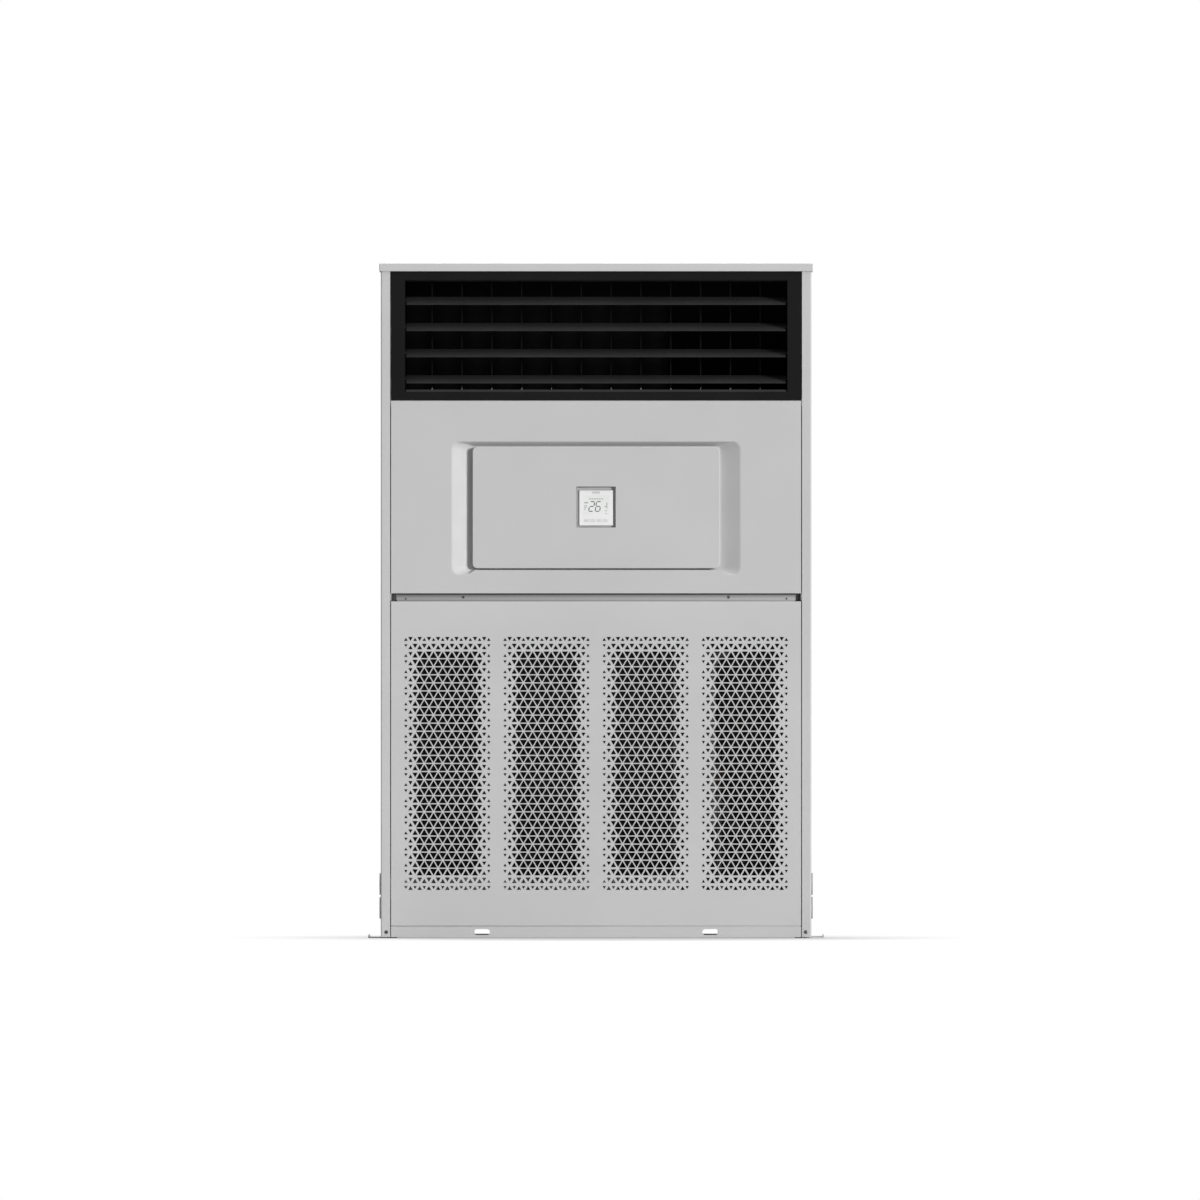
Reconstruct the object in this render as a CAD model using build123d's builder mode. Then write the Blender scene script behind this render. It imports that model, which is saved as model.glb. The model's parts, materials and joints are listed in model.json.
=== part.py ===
from build123d import *
import os
from math import asin, cos, radians, sin, sqrt, tan

# Floor standing air conditioner, in millimetres. +Z is up, +X is to the right of someone who faces
# the front, and the front looks towards -Y. The origin is on the floor under the cabinet's middle.

os.makedirs("parts", exist_ok=True)

# ---------------------------------------------------------------- cabinet
cabinet_width = 1190.0  # over the side panels
cabinet_depth = 400.0  # front faces to the outer face of the back panel
cabinet_height = 1865.0  # floor to the top of the cover
sheet = 1.5  # folded cabinet sheet
bend = 4.0  # outer radius of a fold
seat_gap = 0.3  # where a loose piece stands just clear of its seat

# Round sections that repeat or stay inside the cabinet are drawn with flats, to keep the model light.
small_flat_count = 6
pin_flat_count = 8
pipe_flat_count = 8
wide_flat_count = 16
port_flat_count = 20

post_width = 26.0  # front face of a side panel's post
post_return = 20.0  # depth of the post's inner fold
back_flange = 25.0  # fold of a side panel behind the back panel
panel_gap = 2.5  # dark joint between a post and the front panels
panel_edge = 0.8  # chamfer that stands for the sharp folds of the front panels
upper_height = 934.0  # outlet and middle panel, hung from the top; the intake panel takes the rest
outlet_height = 380.0  # top of the middle panel to the top of the cover
cover_lip = 22.0  # height of the top cover's edge
cover_overhang = 4.0  # how far the top cover stands out past the panels
cover_edge = 1.5  # chamfer along the top

half_width = cabinet_width / 2
inner_half = half_width - sheet
post_inner = half_width - post_width
panel_half = post_inner - panel_gap
front_y = -cabinet_depth / 2
back_y = cabinet_depth / 2
back_inner = back_y - sheet
rear_limit = back_inner - sheet  # inner face of the side panels' back folds
cover_under = cabinet_height - sheet
cover_bottom = cabinet_height - cover_lip

# ---------------------------------------------------------------- feet and base pan
foot_sheet = 3.0
foot_reach = 35.0  # how far a foot stands out past the side panel
foot_tuck = 45.0  # how far it goes under the base pan
foot_length = cabinet_depth - 100.0
foot_lip = 8.0  # height of the turned up outer edge
anchor_slot_length = 18.0
anchor_slot_width = 11.0
anchor_y = foot_length / 2 - 30.0
skirt_top = 31.5  # top of the base pan
pan_lip = 40.0  # inner fold that the feet are screwed to
lift_slot_length = 44.0
lift_slot_height = 16.0
lift_slot_x = 315.5
lift_slot_z = 17.0

anchor_x = half_width + (foot_reach - foot_sheet) / 2

# ---------------------------------------------------------------- pipe ports in the side panels
port_r = 31.0
port_y = back_y - 140.0
port_heights = (82.0, 148.0)
grommet_proud = 5.0
grommet_flange = 4.0
port_clearance = 0.3
slit_length = 44.0  # crossed slits in a grommet's face
slit_width = 2.0
slit_depth = 3.0

# ---------------------------------------------------------------- front panels
intake_bottom = 35.0
intake_top = cabinet_height - upper_height
intake_flange = 18.0  # depth of the intake panel's folded edges
channel_height = 22.0  # recessed channel between the two front panels
channel_depth = 12.0
screw_flange_top = intake_top + 18.0
screw_flange_half = panel_half - 16.5
captive_x = 366.6
captive_head_r = 4.0
captive_head = 2.4
middle_bottom = intake_top + channel_height
middle_top = cabinet_height - outlet_height
middle_flange = 12.0
corner_relief = 4.0  # cut off the base pan's corners inside the posts' folds
middle_bottom_flange = 8.0

# perforated fields of the intake panel, four columns of triangular holes
field_count = 4
field_side_room = 18.5  # plain strip at the panel's left and right edges
field_gap = 39.0  # plain strip between two fields
field_pitch = 2 * (panel_half - field_side_room) / field_count
field_width = field_pitch - field_gap
field_bottom = intake_bottom + 97.0
field_top = intake_top - 99.0
lattice_side = 88.0  # side of a lattice triangle
lattice_rib = 9.0  # keeps a hole clear of its neighbours
edge_scale = 0.45  # size of the outermost holes

# ---------------------------------------------------------------- recess and control cover
recess_half = 398.5
recess_bottom = middle_bottom + 55.0
recess_top = middle_top - 113.0
recess_depth = 22.0
recess_corner_r = 15.0
scoop_width = 57.0  # open part of the recess on each side of the control cover
cover_half = recess_half - scoop_width
sill_half = cover_half - 6.5
control_bottom = recess_bottom + 14.0
control_top = recess_top - 14.3
control_corner_r = 13.0
control_gap = 2.0  # joint round the control cover
control_wall = 2.5
control_edge = 1.2
window_width = 108.0
window_height = 113.0
window_bottom = control_bottom + 113.0
window_top = window_bottom + window_height
boss_side = 10.0
boss_inset = 28.0

# wired controller behind the window
controller_width = 94.0
controller_bottom = window_bottom + 5.0
controller_top = window_top - 10.0
controller_depth = 15.5
controller_edge = 1.5
display_width = 74.0
display_bottom = controller_bottom + 30.0
display_top = controller_top - 14.0
display_glass = 1.2
key_count = 4
key_pitch = 17.0
key_width = 12.0
key_height = 6.0
key_z = controller_bottom + 14.5
key_proud = 0.8
key_body = 3.6
key_gap = 0.3
key_well = 1.0  # free depth behind a key at rest, more than its travel of 0.6

# ---------------------------------------------------------------- outlet
bezel_bottom = middle_top + 1.0
outlet_half = panel_half - 38.5
outlet_bottom = middle_top + 25.0
outlet_top = cabinet_height - 47.0
bezel_face = 3.5
bezel_chamfer = 1.2
duct_wall = 2.5
duct_side_room = 8.0  # duct wall behind the edge of the opening
duct_floor_room = 6.0
duct_end_y = front_y + 105.0
duct_foot = 30.0
duct_foot_pitch = 300.0
duct_foot_count = 4

blade_count = 4
blade_pitch = 72.3
blade_lowest_z = outlet_bottom + 34.5
blade_y = front_y + 40.0
blade_chord = 75.0
blade_thick = 5.0
blade_crown = 3.0  # height of the upper face over the pivot line
blade_edge = 1.6
blade_tilt = 16.5  # front edge down, as the blades stand at rest
blade_end_gap = 4.0
blade_pivot_r = 3.5
blade_crank = 22.0
blade_pin_r = 2.2
pivot_clearance = 0.05
link_thick = 3.0
link_width = 9.0
link_end = 8.0

vane_count = 12
vane_side_room = 74.25  # edge of the opening to the first vane
vane_pitch = 2 * (outlet_half - vane_side_room) / (vane_count - 1)
vane_y = front_y + 100.0
vane_front = 18.0  # plate in front of the pivot
vane_rear = 38.0  # plate behind the pivot
vane_thick = 2.5
vane_rod_r = 2.5  # over the corners of the six flats, so a flat is as wide as the plate
vane_end_gap = 1.0
vane_crank = 25.0
vane_tab = 3.0  # tab of the plate that the link bar's fork holds
vane_relief = 9.0  # plate cut away round the link bar
vane_bar_gap = 3.0  # link bar above the rail
vane_bar_thick = 3.0
vane_bar_width = 10.0
rail_height = 8.5
rail_front = 10.0  # rail in front of the pivot axis
rail_rear = 4.0

motor_can_r = 14.0
motor_can = 18.0
motor_ear = 44.0
motor_ear_width = 16.0
motor_ear_thick = 1.5

# ---------------------------------------------------------------- fans
deck_z = middle_top + 5.0  # underside of the fan deck
deck_front_drop = 20.0
fan_x = half_width / 2 - 7.5  # middle of each fan
fan_z = deck_z - 265.0
scroll_step = 18.0  # how much each quarter turn is smaller
scroll_back_room = 9.0  # scroll to the side panels' back folds
scroll_front_room = 36.0
throat_back = rear_limit - scroll_back_room
scroll_r = (throat_back - front_y - scroll_front_room + scroll_step) / 2  # largest arc of the scroll
fan_y = throat_back - scroll_step / 2 - scroll_r
wheel_r = scroll_r - 59.0
wheel_width = 236.0
wheel_blade_count = 14
wheel_inner_r = wheel_r - 25.0
wheel_sheet = 1.5
hub_r = 22.0
hub_length = 50.0
shaft_r = 10.0
shaft_over = 18.0  # shaft end past its bearing
scroll_inner_width = 264.0
tongue_angle = 35.0
scroll_flat_count = 5  # flats to a quarter turn
inlet_r = wheel_r - 20.0
bearing_bar = 34.0
bearing_bar_thick = 4.0
bearing_r = 24.0
bearing_width = 22.0
shaft_clearance = 0.05
motor_r = 75.0
motor_half = 80.0
motor_nose_r = 30.0
motor_nose = 10.0
bracket_half = 100.0
bracket_depth = 100.0
bracket_sheet = 3.0
bracket_hole_r = 40.0
motor_pad = 30.0

# ---------------------------------------------------------------- cross rail and electrical box
rail_bottom = intake_top + 2.0
rail_top = rail_bottom + 22.0
rail_depth = 36.0
box_half = 150.0
box_top = deck_z - 90.0
box_back = front_y + 98.0
board_width = 200.0
board_height = 150.0
board_thick = 1.6
board_z = box_top - 130.0
standoff = 8.0
relay_count = 5
relay_pitch = 35.0
relay_size = (20.0, 28.0, 16.0)
relay_row = 45.0  # above the board's middle
transformer_size = (54.0, 46.0, 34.0)
transformer_place = (-60.0, -30.0)
chip_size = 30.0
chip_place = (20.0, -15.0)
plug_count = 3
plug_pitch = 14.0
plug_size = (11.0, 22.0)
plug_place = (64.0, -55.0)
low_part_height = 6.0
terminal_width = 180.0
terminal_height = 46.0
terminal_depth = 22.0
terminal_z = rail_top + 85.0
terminal_pole_count = 6

# ---------------------------------------------------------------- coil, drain pan and pipework
coil_left = -half_width + 35.0
coil_length = cabinet_width - 415.0
coil_right = coil_left + coil_length
coil_low_y = rear_limit - 102.0
coil_low_z = 215.0
coil_high_y = front_y + 95.0
coil_high_z = intake_top - 26.0
coil_thick = 66.0
coil_core = 16.0  # solid rear layer of the finned block
fin_pitch = 26.0
fin_thick = 1.6
end_plate_margin = 8.0
end_leg = 55.0
end_ear = 44.0  # depth of the ears under the cross rail
tray_left = coil_left - 10.0
tray_right = coil_right + 23.0
tray_front = coil_low_y - 130.0
tray_back = rear_limit - 25.0
tray_bottom = 95.0
tray_top = 169.0
tray_wall = 2.0
stand_width = 60.0
stand_reach = coil_length / 2 - 117.5
spout_r = 11.0
spout_length = 40.0
bend_pitch = 38.0
bend_row_count = 6
bend_tube_r = 4.8
bend_out = 20.0
header_x = coil_right + 57.0
header_r = 14.0
header_through = -4.0  # behind the coil's middle
header_low = 90.0  # along the coil from its lower edge
header_head_room = 98.4  # end of the header to the coil's upper edge
stub_count = 4
stub_r = 6.0
gas_r = 11.0
gas_x = coil_right + 195.0
gas_y = front_y + 130.0
gas_bend = 45.0
gas_turn_z = 290.0
liquid_r = 8.0
liquid_x = coil_right + 125.0
liquid_bend = 36.0
pipe_end_gap = 16.0
distributor_low = 190.0
distributor_length = 60.0
distributor_r = 16.0
distributor_neck_r = 9.0
feed_r = 3.2
feed_x = coil_right + 39.0  # where the feed tubes turn into the coil
feed_count = 4

screw_r = 5.0
screw_head = 2.0
back_screw_rows = (60.0, cabinet_height / 2, cabinet_height - 65.0)

# ---------------------------------------------------------------- filters
filter_depth = 7.0
filter_bar = 10.0
filter_rib = 2.0
filter_margin = 24.0  # frame past the perforated field, above and below
filter_side_margin = 12.0
filter_rib_count = 3


def upright(y):
    """Sketch plane across the cabinet at y: local x is +X, local y is +Z, positive amounts go forwards."""
    return Plane.XZ.offset(-y)


def block(x0, x1, y0, y1):
    """Rectangle between two corners of the sketch that is open."""
    with Locations(((x0 + x1) / 2, (y0 + y1) / 2)):
        Rectangle(abs(x1 - x0), abs(y1 - y0))


def folded(plane, points, side, thickness=sheet):
    """Section of a folded sheet: one face follows the points, the sheet lies on the named side of them."""
    with BuildSketch(plane) as section:
        with BuildLine():
            Polyline(*points)
            offset(amount=thickness, side=side, kind=Kind.INTERSECTION)
        make_face()
    return section.sketch


def bent(corners, radius):
    """Points of a pipe's route, where two chords stand for the bend at each corner."""
    points = [Vector(*corners[0])]
    for before, corner, after in zip(corners, corners[1:], corners[2:]):
        turn = Vector(*corner)
        back = (Vector(*before) - turn).normalized()
        ahead = (Vector(*after) - turn).normalized()
        half = radians(back.get_angle(ahead)) / 2
        reach = radius / tan(half)
        inward = (back + ahead).normalized() * (radius / sin(half) - radius)
        points += [turn + back * reach, turn + inward, turn + ahead * reach]
    return points + [Vector(*corners[-1])]


def tube(points, radius, flats):
    """Pipe along the points with mitred joints."""
    with BuildPart() as pipe:
        with BuildLine() as route:
            Polyline(*points)
        with BuildSketch(Plane(origin=route.line @ 0, z_dir=route.line % 0)):
            RegularPolygon(radius, flats)
        sweep(path=route.line, transition=Transition.RIGHT)
    return pipe.part


# ================================================================ base
for name, side in (("foot_left", -1), ("foot_right", 1)):
    with BuildPart() as foot:
        with BuildSketch(Plane.XY):
            foot_inner = side * (half_width - foot_tuck)
            block(foot_inner, side * (half_width + foot_reach), -foot_length / 2, foot_length / 2)
        extrude(amount=foot_sheet)
        with BuildSketch(Plane.XY):
            block(
                side * (half_width + foot_reach - foot_sheet),
                side * (half_width + foot_reach),
                -foot_length / 2,
                foot_length / 2,
            )
        extrude(amount=foot_lip)
        with BuildSketch(Plane.XY):
            with Locations((side * anchor_x, -anchor_y), (side * anchor_x, anchor_y)):
                SlotOverall(anchor_slot_length, anchor_slot_width)
        extrude(amount=foot_sheet, mode=Mode.SUBTRACT)
    foot.part.label = name
    export_step(foot.part, f"parts/{name}.step")

pan_front = front_y + sheet  # behind the posts' front faces
with BuildPart() as base_pan:
    with BuildSketch(Plane.XY.offset(foot_sheet)):
        block(-inner_half, inner_half, pan_front, rear_limit)
        chamfer(vertices(), length=corner_relief)
        block(-panel_half, panel_half, front_y, pan_front)
    extrude(amount=skirt_top - foot_sheet)
    with BuildSketch(Plane.XY.offset(foot_sheet)):
        block(-inner_half + sheet, inner_half - sheet, pan_front + sheet, rear_limit - sheet)
        chamfer(vertices(), length=corner_relief)
        block(-panel_half + sheet, panel_half - sheet, front_y + sheet, pan_front + sheet)
    extrude(amount=skirt_top - foot_sheet - sheet, mode=Mode.SUBTRACT)
    with BuildSketch(Plane.XY.offset(foot_sheet)):
        for side in (-1, 1):
            block(side * (inner_half - pan_lip), side * inner_half, -foot_length / 2, foot_length / 2)
    extrude(amount=sheet)
    with BuildSketch(Plane.XZ):
        with Locations((-lift_slot_x, lift_slot_z), (lift_slot_x, lift_slot_z)):
            SlotOverall(lift_slot_length, lift_slot_height)
    extrude(amount=cabinet_depth, mode=Mode.SUBTRACT)
    with BuildSketch(Plane.XZ):
        with Locations((-lift_slot_x, lift_slot_z), (lift_slot_x, lift_slot_z)):
            Rectangle(lift_slot_length, lift_slot_height)
    extrude(amount=-cabinet_depth, mode=Mode.SUBTRACT)
base_pan.part.label = "base_pan"
export_step(base_pan.part, "parts/base_pan.step")

# ================================================================ outer panels
for name, side in (("side_panel_left", -1), ("side_panel_right", 1)):
    outline = [
        (side * post_inner, front_y + post_return),
        (side * post_inner, front_y),
        (side * half_width, front_y),
        (side * half_width, back_inner),
        (side * (half_width - back_flange), back_inner),
    ]
    inside = Side.RIGHT if side < 0 else Side.LEFT
    with BuildPart() as side_panel:
        extrude(folded(Plane.XY.offset(foot_sheet), outline, inside), amount=cover_under - foot_sheet)
        uprights = side_panel.edges().filter_by(Axis.Z)
        fillet(uprights.sort_by_distance((side * half_width, front_y, cabinet_height / 2))[0], radius=bend)
        fold_inside = (side * inner_half, front_y + sheet, cabinet_height / 2)
        fillet(side_panel.edges().filter_by(Axis.Z).sort_by_distance(fold_inside)[0], radius=bend - sheet)
        with BuildSketch(Plane.XY.offset(foot_sheet)):
            block(side * (post_inner + sheet), side * post_inner, pan_front, front_y + post_return)
        extrude(amount=skirt_top - foot_sheet + seat_gap, mode=Mode.SUBTRACT)
        with BuildSketch(Plane.YZ.offset(side * half_width)):
            with Locations(*[(port_y, z) for z in port_heights]):
                RegularPolygon(port_r, port_flat_count)
        extrude(amount=sheet, both=True, mode=Mode.SUBTRACT)
    side_panel.part.label = name
    export_step(side_panel.part, f"parts/{name}.step")

bead_height = 2.5
bead_width = 30.0
bead_margin = 120.0
bead_count = 5
bead_rows = [cabinet_height * (number + 1) / (bead_count + 1) for number in range(bead_count)]
rear_face = Plane(origin=(0, back_y, 0), x_dir=(-1, 0, 0), z_dir=(0, 1, 0))
with BuildPart() as back_panel:
    with BuildSketch(rear_face):
        block(-inner_half, inner_half, skirt_top, cover_under)
    extrude(amount=-sheet)
    with BuildSketch(rear_face):
        with Locations(*[(0, z) for z in bead_rows]):
            Rectangle(cabinet_width - 2 * bead_margin, bead_width)
    extrude(amount=bead_height, taper=35)
    with BuildSketch(rear_face.offset(-sheet)):
        with Locations(*[(0, z) for z in bead_rows]):
            Rectangle(cabinet_width - 2 * bead_margin - 2 * sheet, bead_width - 2 * sheet)
    extrude(amount=bead_height, taper=35, mode=Mode.SUBTRACT)
back_panel.part.label = "back_panel"
export_step(back_panel.part, "parts/back_panel.step")

cover_width = cabinet_width + 2 * cover_overhang
cover_depth = cabinet_depth + 2 * cover_overhang
with BuildPart() as top_cover:
    with BuildSketch(Plane.XY.offset(cover_bottom)):
        Rectangle(cover_width, cover_depth)
        chamfer(vertices(), length=cover_edge)
    extrude(amount=cover_lip)
    chamfer(top_cover.faces().sort_by(Axis.Z)[-1].edges(), length=cover_edge)
    with BuildSketch(Plane.XY.offset(cover_bottom)):
        Rectangle(cover_width - 2 * sheet, cover_depth - 2 * sheet)
    extrude(amount=cover_lip - sheet, mode=Mode.SUBTRACT)
top_cover.part.label = "top_cover"
export_step(top_cover.part, "parts/top_cover.step")

with BuildPart() as pipe_grommets:
    for side in (-1, 1):
        with BuildSketch(Plane.YZ.offset(side * (inner_half - grommet_flange))):
            with Locations(*[(port_y, z) for z in port_heights]):
                RegularPolygon(port_r - port_clearance, port_flat_count)
        extrude(amount=side * (grommet_flange + sheet + grommet_proud))
        with BuildSketch(Plane.YZ.offset(side * (half_width + grommet_proud))):
            with Locations(*[(port_y, z) for z in port_heights]):
                Rectangle(slit_length, slit_width)
                Rectangle(slit_width, slit_length)
        extrude(amount=-side * slit_depth, mode=Mode.SUBTRACT)
pipe_grommets.part.label = "pipe_grommets"
export_step(pipe_grommets.part, "parts/pipe_grommets.step")

# ================================================================ frame inside the cabinet
web_y = front_y + channel_depth + sheet  # front face of the rail's and the deck's webs
with BuildPart() as cross_rail:
    rail_points = [
        (web_y + rail_depth / 2, rail_bottom),
        (web_y, rail_bottom),
        (web_y, rail_top),
        (web_y + rail_depth, rail_top),
    ]
    extrude(folded(Plane.YZ.offset(-post_inner), rail_points, Side.RIGHT), amount=2 * post_inner)
cross_rail.part.label = "cross_rail"
export_step(cross_rail.part, "parts/cross_rail.step")

# Fan scroll in the YZ plane: four quarter arcs, each smaller than the last by scroll_step, with the
# centres on a square round the wheel's axis. The wide end runs up along the back to the deck.
half_step = scroll_step / 2
arc_centres = [
    (fan_y + half_step, fan_z + half_step),
    (fan_y + half_step, fan_z - half_step),
    (fan_y - half_step, fan_z - half_step),
    (fan_y - half_step, fan_z + half_step),
]
tongue_r = scroll_r - 3 * scroll_step
throat_front = arc_centres[3][0] + tongue_r * sin(radians(tongue_angle))


def scroll_outline(plane, grow):
    """Side view of the scroll, its walls moved outwards by grow."""
    outline = [(throat_back + grow, deck_z)]
    for turn in range(3):
        for flat in range(scroll_flat_count):
            angle = radians(-90 * (turn + flat / scroll_flat_count))
            reach = scroll_r - turn * scroll_step + grow
            centre_y, centre_z = arc_centres[turn]
            outline.append((centre_y + reach * cos(angle), centre_z + reach * sin(angle)))
    tip_r = tongue_r + grow
    tip_angle = asin((throat_front - grow - arc_centres[3][0]) / tip_r)
    for share in (0, 0.5, 1):
        angle = share * tip_angle
        outline.append((arc_centres[3][0] + tip_r * sin(angle), arc_centres[3][1] + tip_r * cos(angle)))
    outline.append((throat_front - grow, deck_z))
    with BuildSketch(plane) as side_view:
        with BuildLine():
            Polyline(*outline, close=True)
        make_face()
    return side_view.sketch


with BuildPart() as fan_scrolls:
    for side in (-1, 1):
        low_x = side * fan_x - scroll_inner_width / 2
        extrude(scroll_outline(Plane.YZ.offset(low_x - sheet), sheet), amount=scroll_inner_width + 2 * sheet)
    for side in (-1, 1):
        low_x = side * fan_x - scroll_inner_width / 2
        extrude(scroll_outline(Plane.YZ.offset(low_x), 0), amount=scroll_inner_width, mode=Mode.SUBTRACT)
    with BuildSketch(Plane.YZ.offset(-inner_half)):
        with Locations((fan_y, fan_z)):
            RegularPolygon(inlet_r, wide_flat_count)
    extrude(amount=2 * inner_half, mode=Mode.SUBTRACT)
fan_scrolls.part.label = "fan_scrolls"
export_step(fan_scrolls.part, "parts/fan_scrolls.step")

with BuildPart() as fan_deck:
    with BuildSketch(Plane.XY.offset(deck_z)):
        block(-inner_half, inner_half, front_y + post_return, rear_limit)
        block(-post_inner, post_inner, web_y, front_y + post_return)
    extrude(amount=sheet)
    with BuildSketch(Plane.XY.offset(deck_z)):
        block(-post_inner, post_inner, web_y, web_y + sheet)
    extrude(amount=-deck_front_drop)
    with BuildSketch(Plane.XY.offset(deck_z)):
        for side in (-1, 1):
            with Locations((side * fan_x, (throat_front + throat_back) / 2)):
                Rectangle(scroll_inner_width, throat_back - throat_front)
    extrude(amount=sheet, mode=Mode.SUBTRACT)
fan_deck.part.label = "fan_deck"
export_step(fan_deck.part, "parts/fan_deck.step")

# ================================================================ fan rotor and its drive
bearing_x = fan_x + scroll_inner_width / 2 + sheet
shaft_half = bearing_x + bearing_bar_thick + bearing_width / 2 + shaft_over

with BuildPart() as fan_shaft:
    with BuildSketch(Plane.YZ.offset(-shaft_half)):
        with Locations((fan_y, fan_z)):
            Circle(shaft_r)
    extrude(amount=2 * shaft_half)
fan_shaft.part.label = "fan_shaft"
export_step(fan_shaft.part, "parts/fan_shaft.step")

blade_points = [(wheel_inner_r + 1, 0), (wheel_inner_r + 11, 3.5), (wheel_r - 6, 12)]
bay = (wheel_width - 4 * wheel_sheet) / 2  # blades between an end ring and the centre disc
for name, side in (("fan_wheel_left", -1), ("fan_wheel_right", 1)):
    wheel_low = side * fan_x - wheel_width / 2
    wheel_high = side * fan_x + wheel_width / 2
    with BuildPart() as wheel_vanes:
        for bay_low in (wheel_low + wheel_sheet, wheel_high - wheel_sheet - bay):
            with BuildSketch(Plane.YZ.offset(bay_low)):
                with BuildSketch(mode=Mode.PRIVATE) as wheel_blade:
                    with BuildLine():
                        Polyline(*blade_points)
                        offset(amount=wheel_sheet, side=Side.LEFT, kind=Kind.INTERSECTION)
                    make_face()
                with Locations((fan_y, fan_z)):
                    with PolarLocations(0, wheel_blade_count):
                        add(wheel_blade.sketch)
            extrude(amount=bay)
    with BuildPart() as wheel_discs:
        for ring_low in (wheel_low, wheel_high - wheel_sheet):
            with BuildSketch(Plane.YZ.offset(ring_low)):
                with Locations((fan_y, fan_z)):
                    RegularPolygon(wheel_r, wheel_blade_count)
                    RegularPolygon(wheel_inner_r, wheel_blade_count, mode=Mode.SUBTRACT)
            extrude(amount=wheel_sheet)
        with BuildSketch(Plane.YZ.offset(side * fan_x)):
            with Locations((fan_y, fan_z)):
                RegularPolygon(wheel_r, wheel_blade_count)
        extrude(amount=wheel_sheet, both=True)
        with BuildSketch(Plane.YZ.offset(side * fan_x)):
            with Locations((fan_y, fan_z)):
                RegularPolygon(hub_r, pin_flat_count)
        extrude(amount=hub_length / 2, both=True)
        with BuildSketch(Plane.YZ.offset(side * fan_x)):
            with Locations((fan_y, fan_z)):
                RegularPolygon(shaft_r, pin_flat_count, major_radius=False)
        extrude(amount=hub_length / 2, both=True, mode=Mode.SUBTRACT)
    fan_wheel = Compound(label=name, children=[wheel_vanes.part, wheel_discs.part])
    export_step(fan_wheel, f"parts/{name}.step")

with BuildPart() as shaft_bearings:
    for side in (-1, 1):
        with BuildSketch(Plane.YZ.offset(side * bearing_x)):
            with Locations((fan_y, fan_z)):
                Rectangle(bearing_bar, 2 * inlet_r + 2 * bearing_bar)
        extrude(amount=side * bearing_bar_thick)
        with BuildSketch(Plane.YZ.offset(side * bearing_x)):
            with Locations((fan_y, fan_z)):
                RegularPolygon(bearing_r, pin_flat_count)
        extrude(amount=side * bearing_width)
    with BuildSketch(Plane.YZ.offset(-inner_half)):
        with Locations((fan_y, fan_z)):
            RegularPolygon(shaft_r + shaft_clearance, pin_flat_count, major_radius=False)
    extrude(amount=2 * inner_half, mode=Mode.SUBTRACT)
shaft_bearings.part.label = "shaft_bearings"
export_step(shaft_bearings.part, "parts/shaft_bearings.step")

pad_bottom = fan_z - motor_r - 6.0
with BuildPart() as fan_motor:
    with BuildSketch(Plane.YZ.offset(-motor_half)):
        with Locations((fan_y, fan_z)):
            RegularPolygon(motor_r, wide_flat_count)
    extrude(amount=2 * motor_half)
    with BuildSketch(Plane.YZ.offset(-motor_half - motor_nose)):
        with Locations((fan_y, fan_z)):
            RegularPolygon(motor_nose_r, pin_flat_count)
    extrude(amount=2 * (motor_half + motor_nose))
    with BuildSketch(Plane.XY.offset(pad_bottom)):
        for x in (-motor_half / 2, motor_half / 2):
            with Locations((x, fan_y)):
                Rectangle(motor_pad, bracket_depth - 10)
    extrude(amount=motor_r / 2)
    with BuildSketch(Plane.YZ.offset(-motor_half - motor_nose)):
        with Locations((fan_y, fan_z)):
            RegularPolygon(shaft_r + shaft_clearance, pin_flat_count, major_radius=False)
    extrude(amount=2 * (motor_half + motor_nose), mode=Mode.SUBTRACT)
fan_motor.part.label = "fan_motor"
export_step(fan_motor.part, "parts/fan_motor.step")

cradle_points = [
    (-bracket_half, deck_z),
    (-bracket_half, pad_bottom - bracket_sheet),
    (bracket_half, pad_bottom - bracket_sheet),
    (bracket_half, deck_z),
]
with BuildPart() as motor_bracket:
    cradle = folded(upright(fan_y), cradle_points, Side.LEFT, bracket_sheet)
    extrude(cradle, amount=bracket_depth / 2, both=True)
    with BuildSketch(Plane.YZ.offset(-bracket_half)):
        with Locations((fan_y, fan_z)):
            RegularPolygon(bracket_hole_r, wide_flat_count)
    extrude(amount=2 * bracket_half, mode=Mode.SUBTRACT)
motor_bracket.part.label = "motor_bracket"
export_step(motor_bracket.part, "parts/motor_bracket.step")

# ================================================================ outlet bezel
duct_half = outlet_half + duct_side_room
duct_low = outlet_bottom - duct_floor_room
duct_high = outlet_top + duct_floor_room
bezel_back = front_y + bezel_face
blade_heights = [blade_lowest_z + row * blade_pitch for row in range(blade_count)]
with BuildPart() as outlet_bezel:
    with BuildSketch(upright(front_y)):
        block(-panel_half, panel_half, bezel_bottom, cover_under)
    extrude(amount=-bezel_face)
    with BuildSketch(upright(bezel_back)):
        block(-duct_half - duct_wall, duct_half + duct_wall, duct_low - duct_wall, duct_high + duct_wall)
    extrude(amount=bezel_back - duct_end_y)
    with BuildSketch(upright(bezel_back)):
        block(-duct_half, duct_half, duct_low, duct_high)
    extrude(amount=bezel_back - duct_end_y, mode=Mode.SUBTRACT)
    with BuildSketch(upright(front_y)):
        block(-outlet_half, outlet_half, outlet_bottom, outlet_top)
    extrude(amount=-bezel_face, mode=Mode.SUBTRACT)
    front_rim = outlet_bezel.faces().filter_by(Axis.Y).sort_by(Axis.Y)[0]
    chamfer(front_rim.inner_wires()[0].edges(), length=bezel_chamfer)
    with BuildSketch(Plane.XY.offset(deck_z + sheet)):
        with Locations((0, (bezel_back + duct_end_y) / 2)):
            with GridLocations(duct_foot_pitch, 0, duct_foot_count, 1):
                Rectangle(duct_foot, duct_foot)
    extrude(amount=duct_low - duct_wall - deck_z - sheet)
    with BuildSketch(Plane.YZ):
        with Locations(*[(blade_y, z) for z in blade_heights]):
            RegularPolygon(blade_pivot_r + pivot_clearance, pin_flat_count, major_radius=False)
    extrude(amount=duct_half + duct_wall, both=True, mode=Mode.SUBTRACT)
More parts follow.
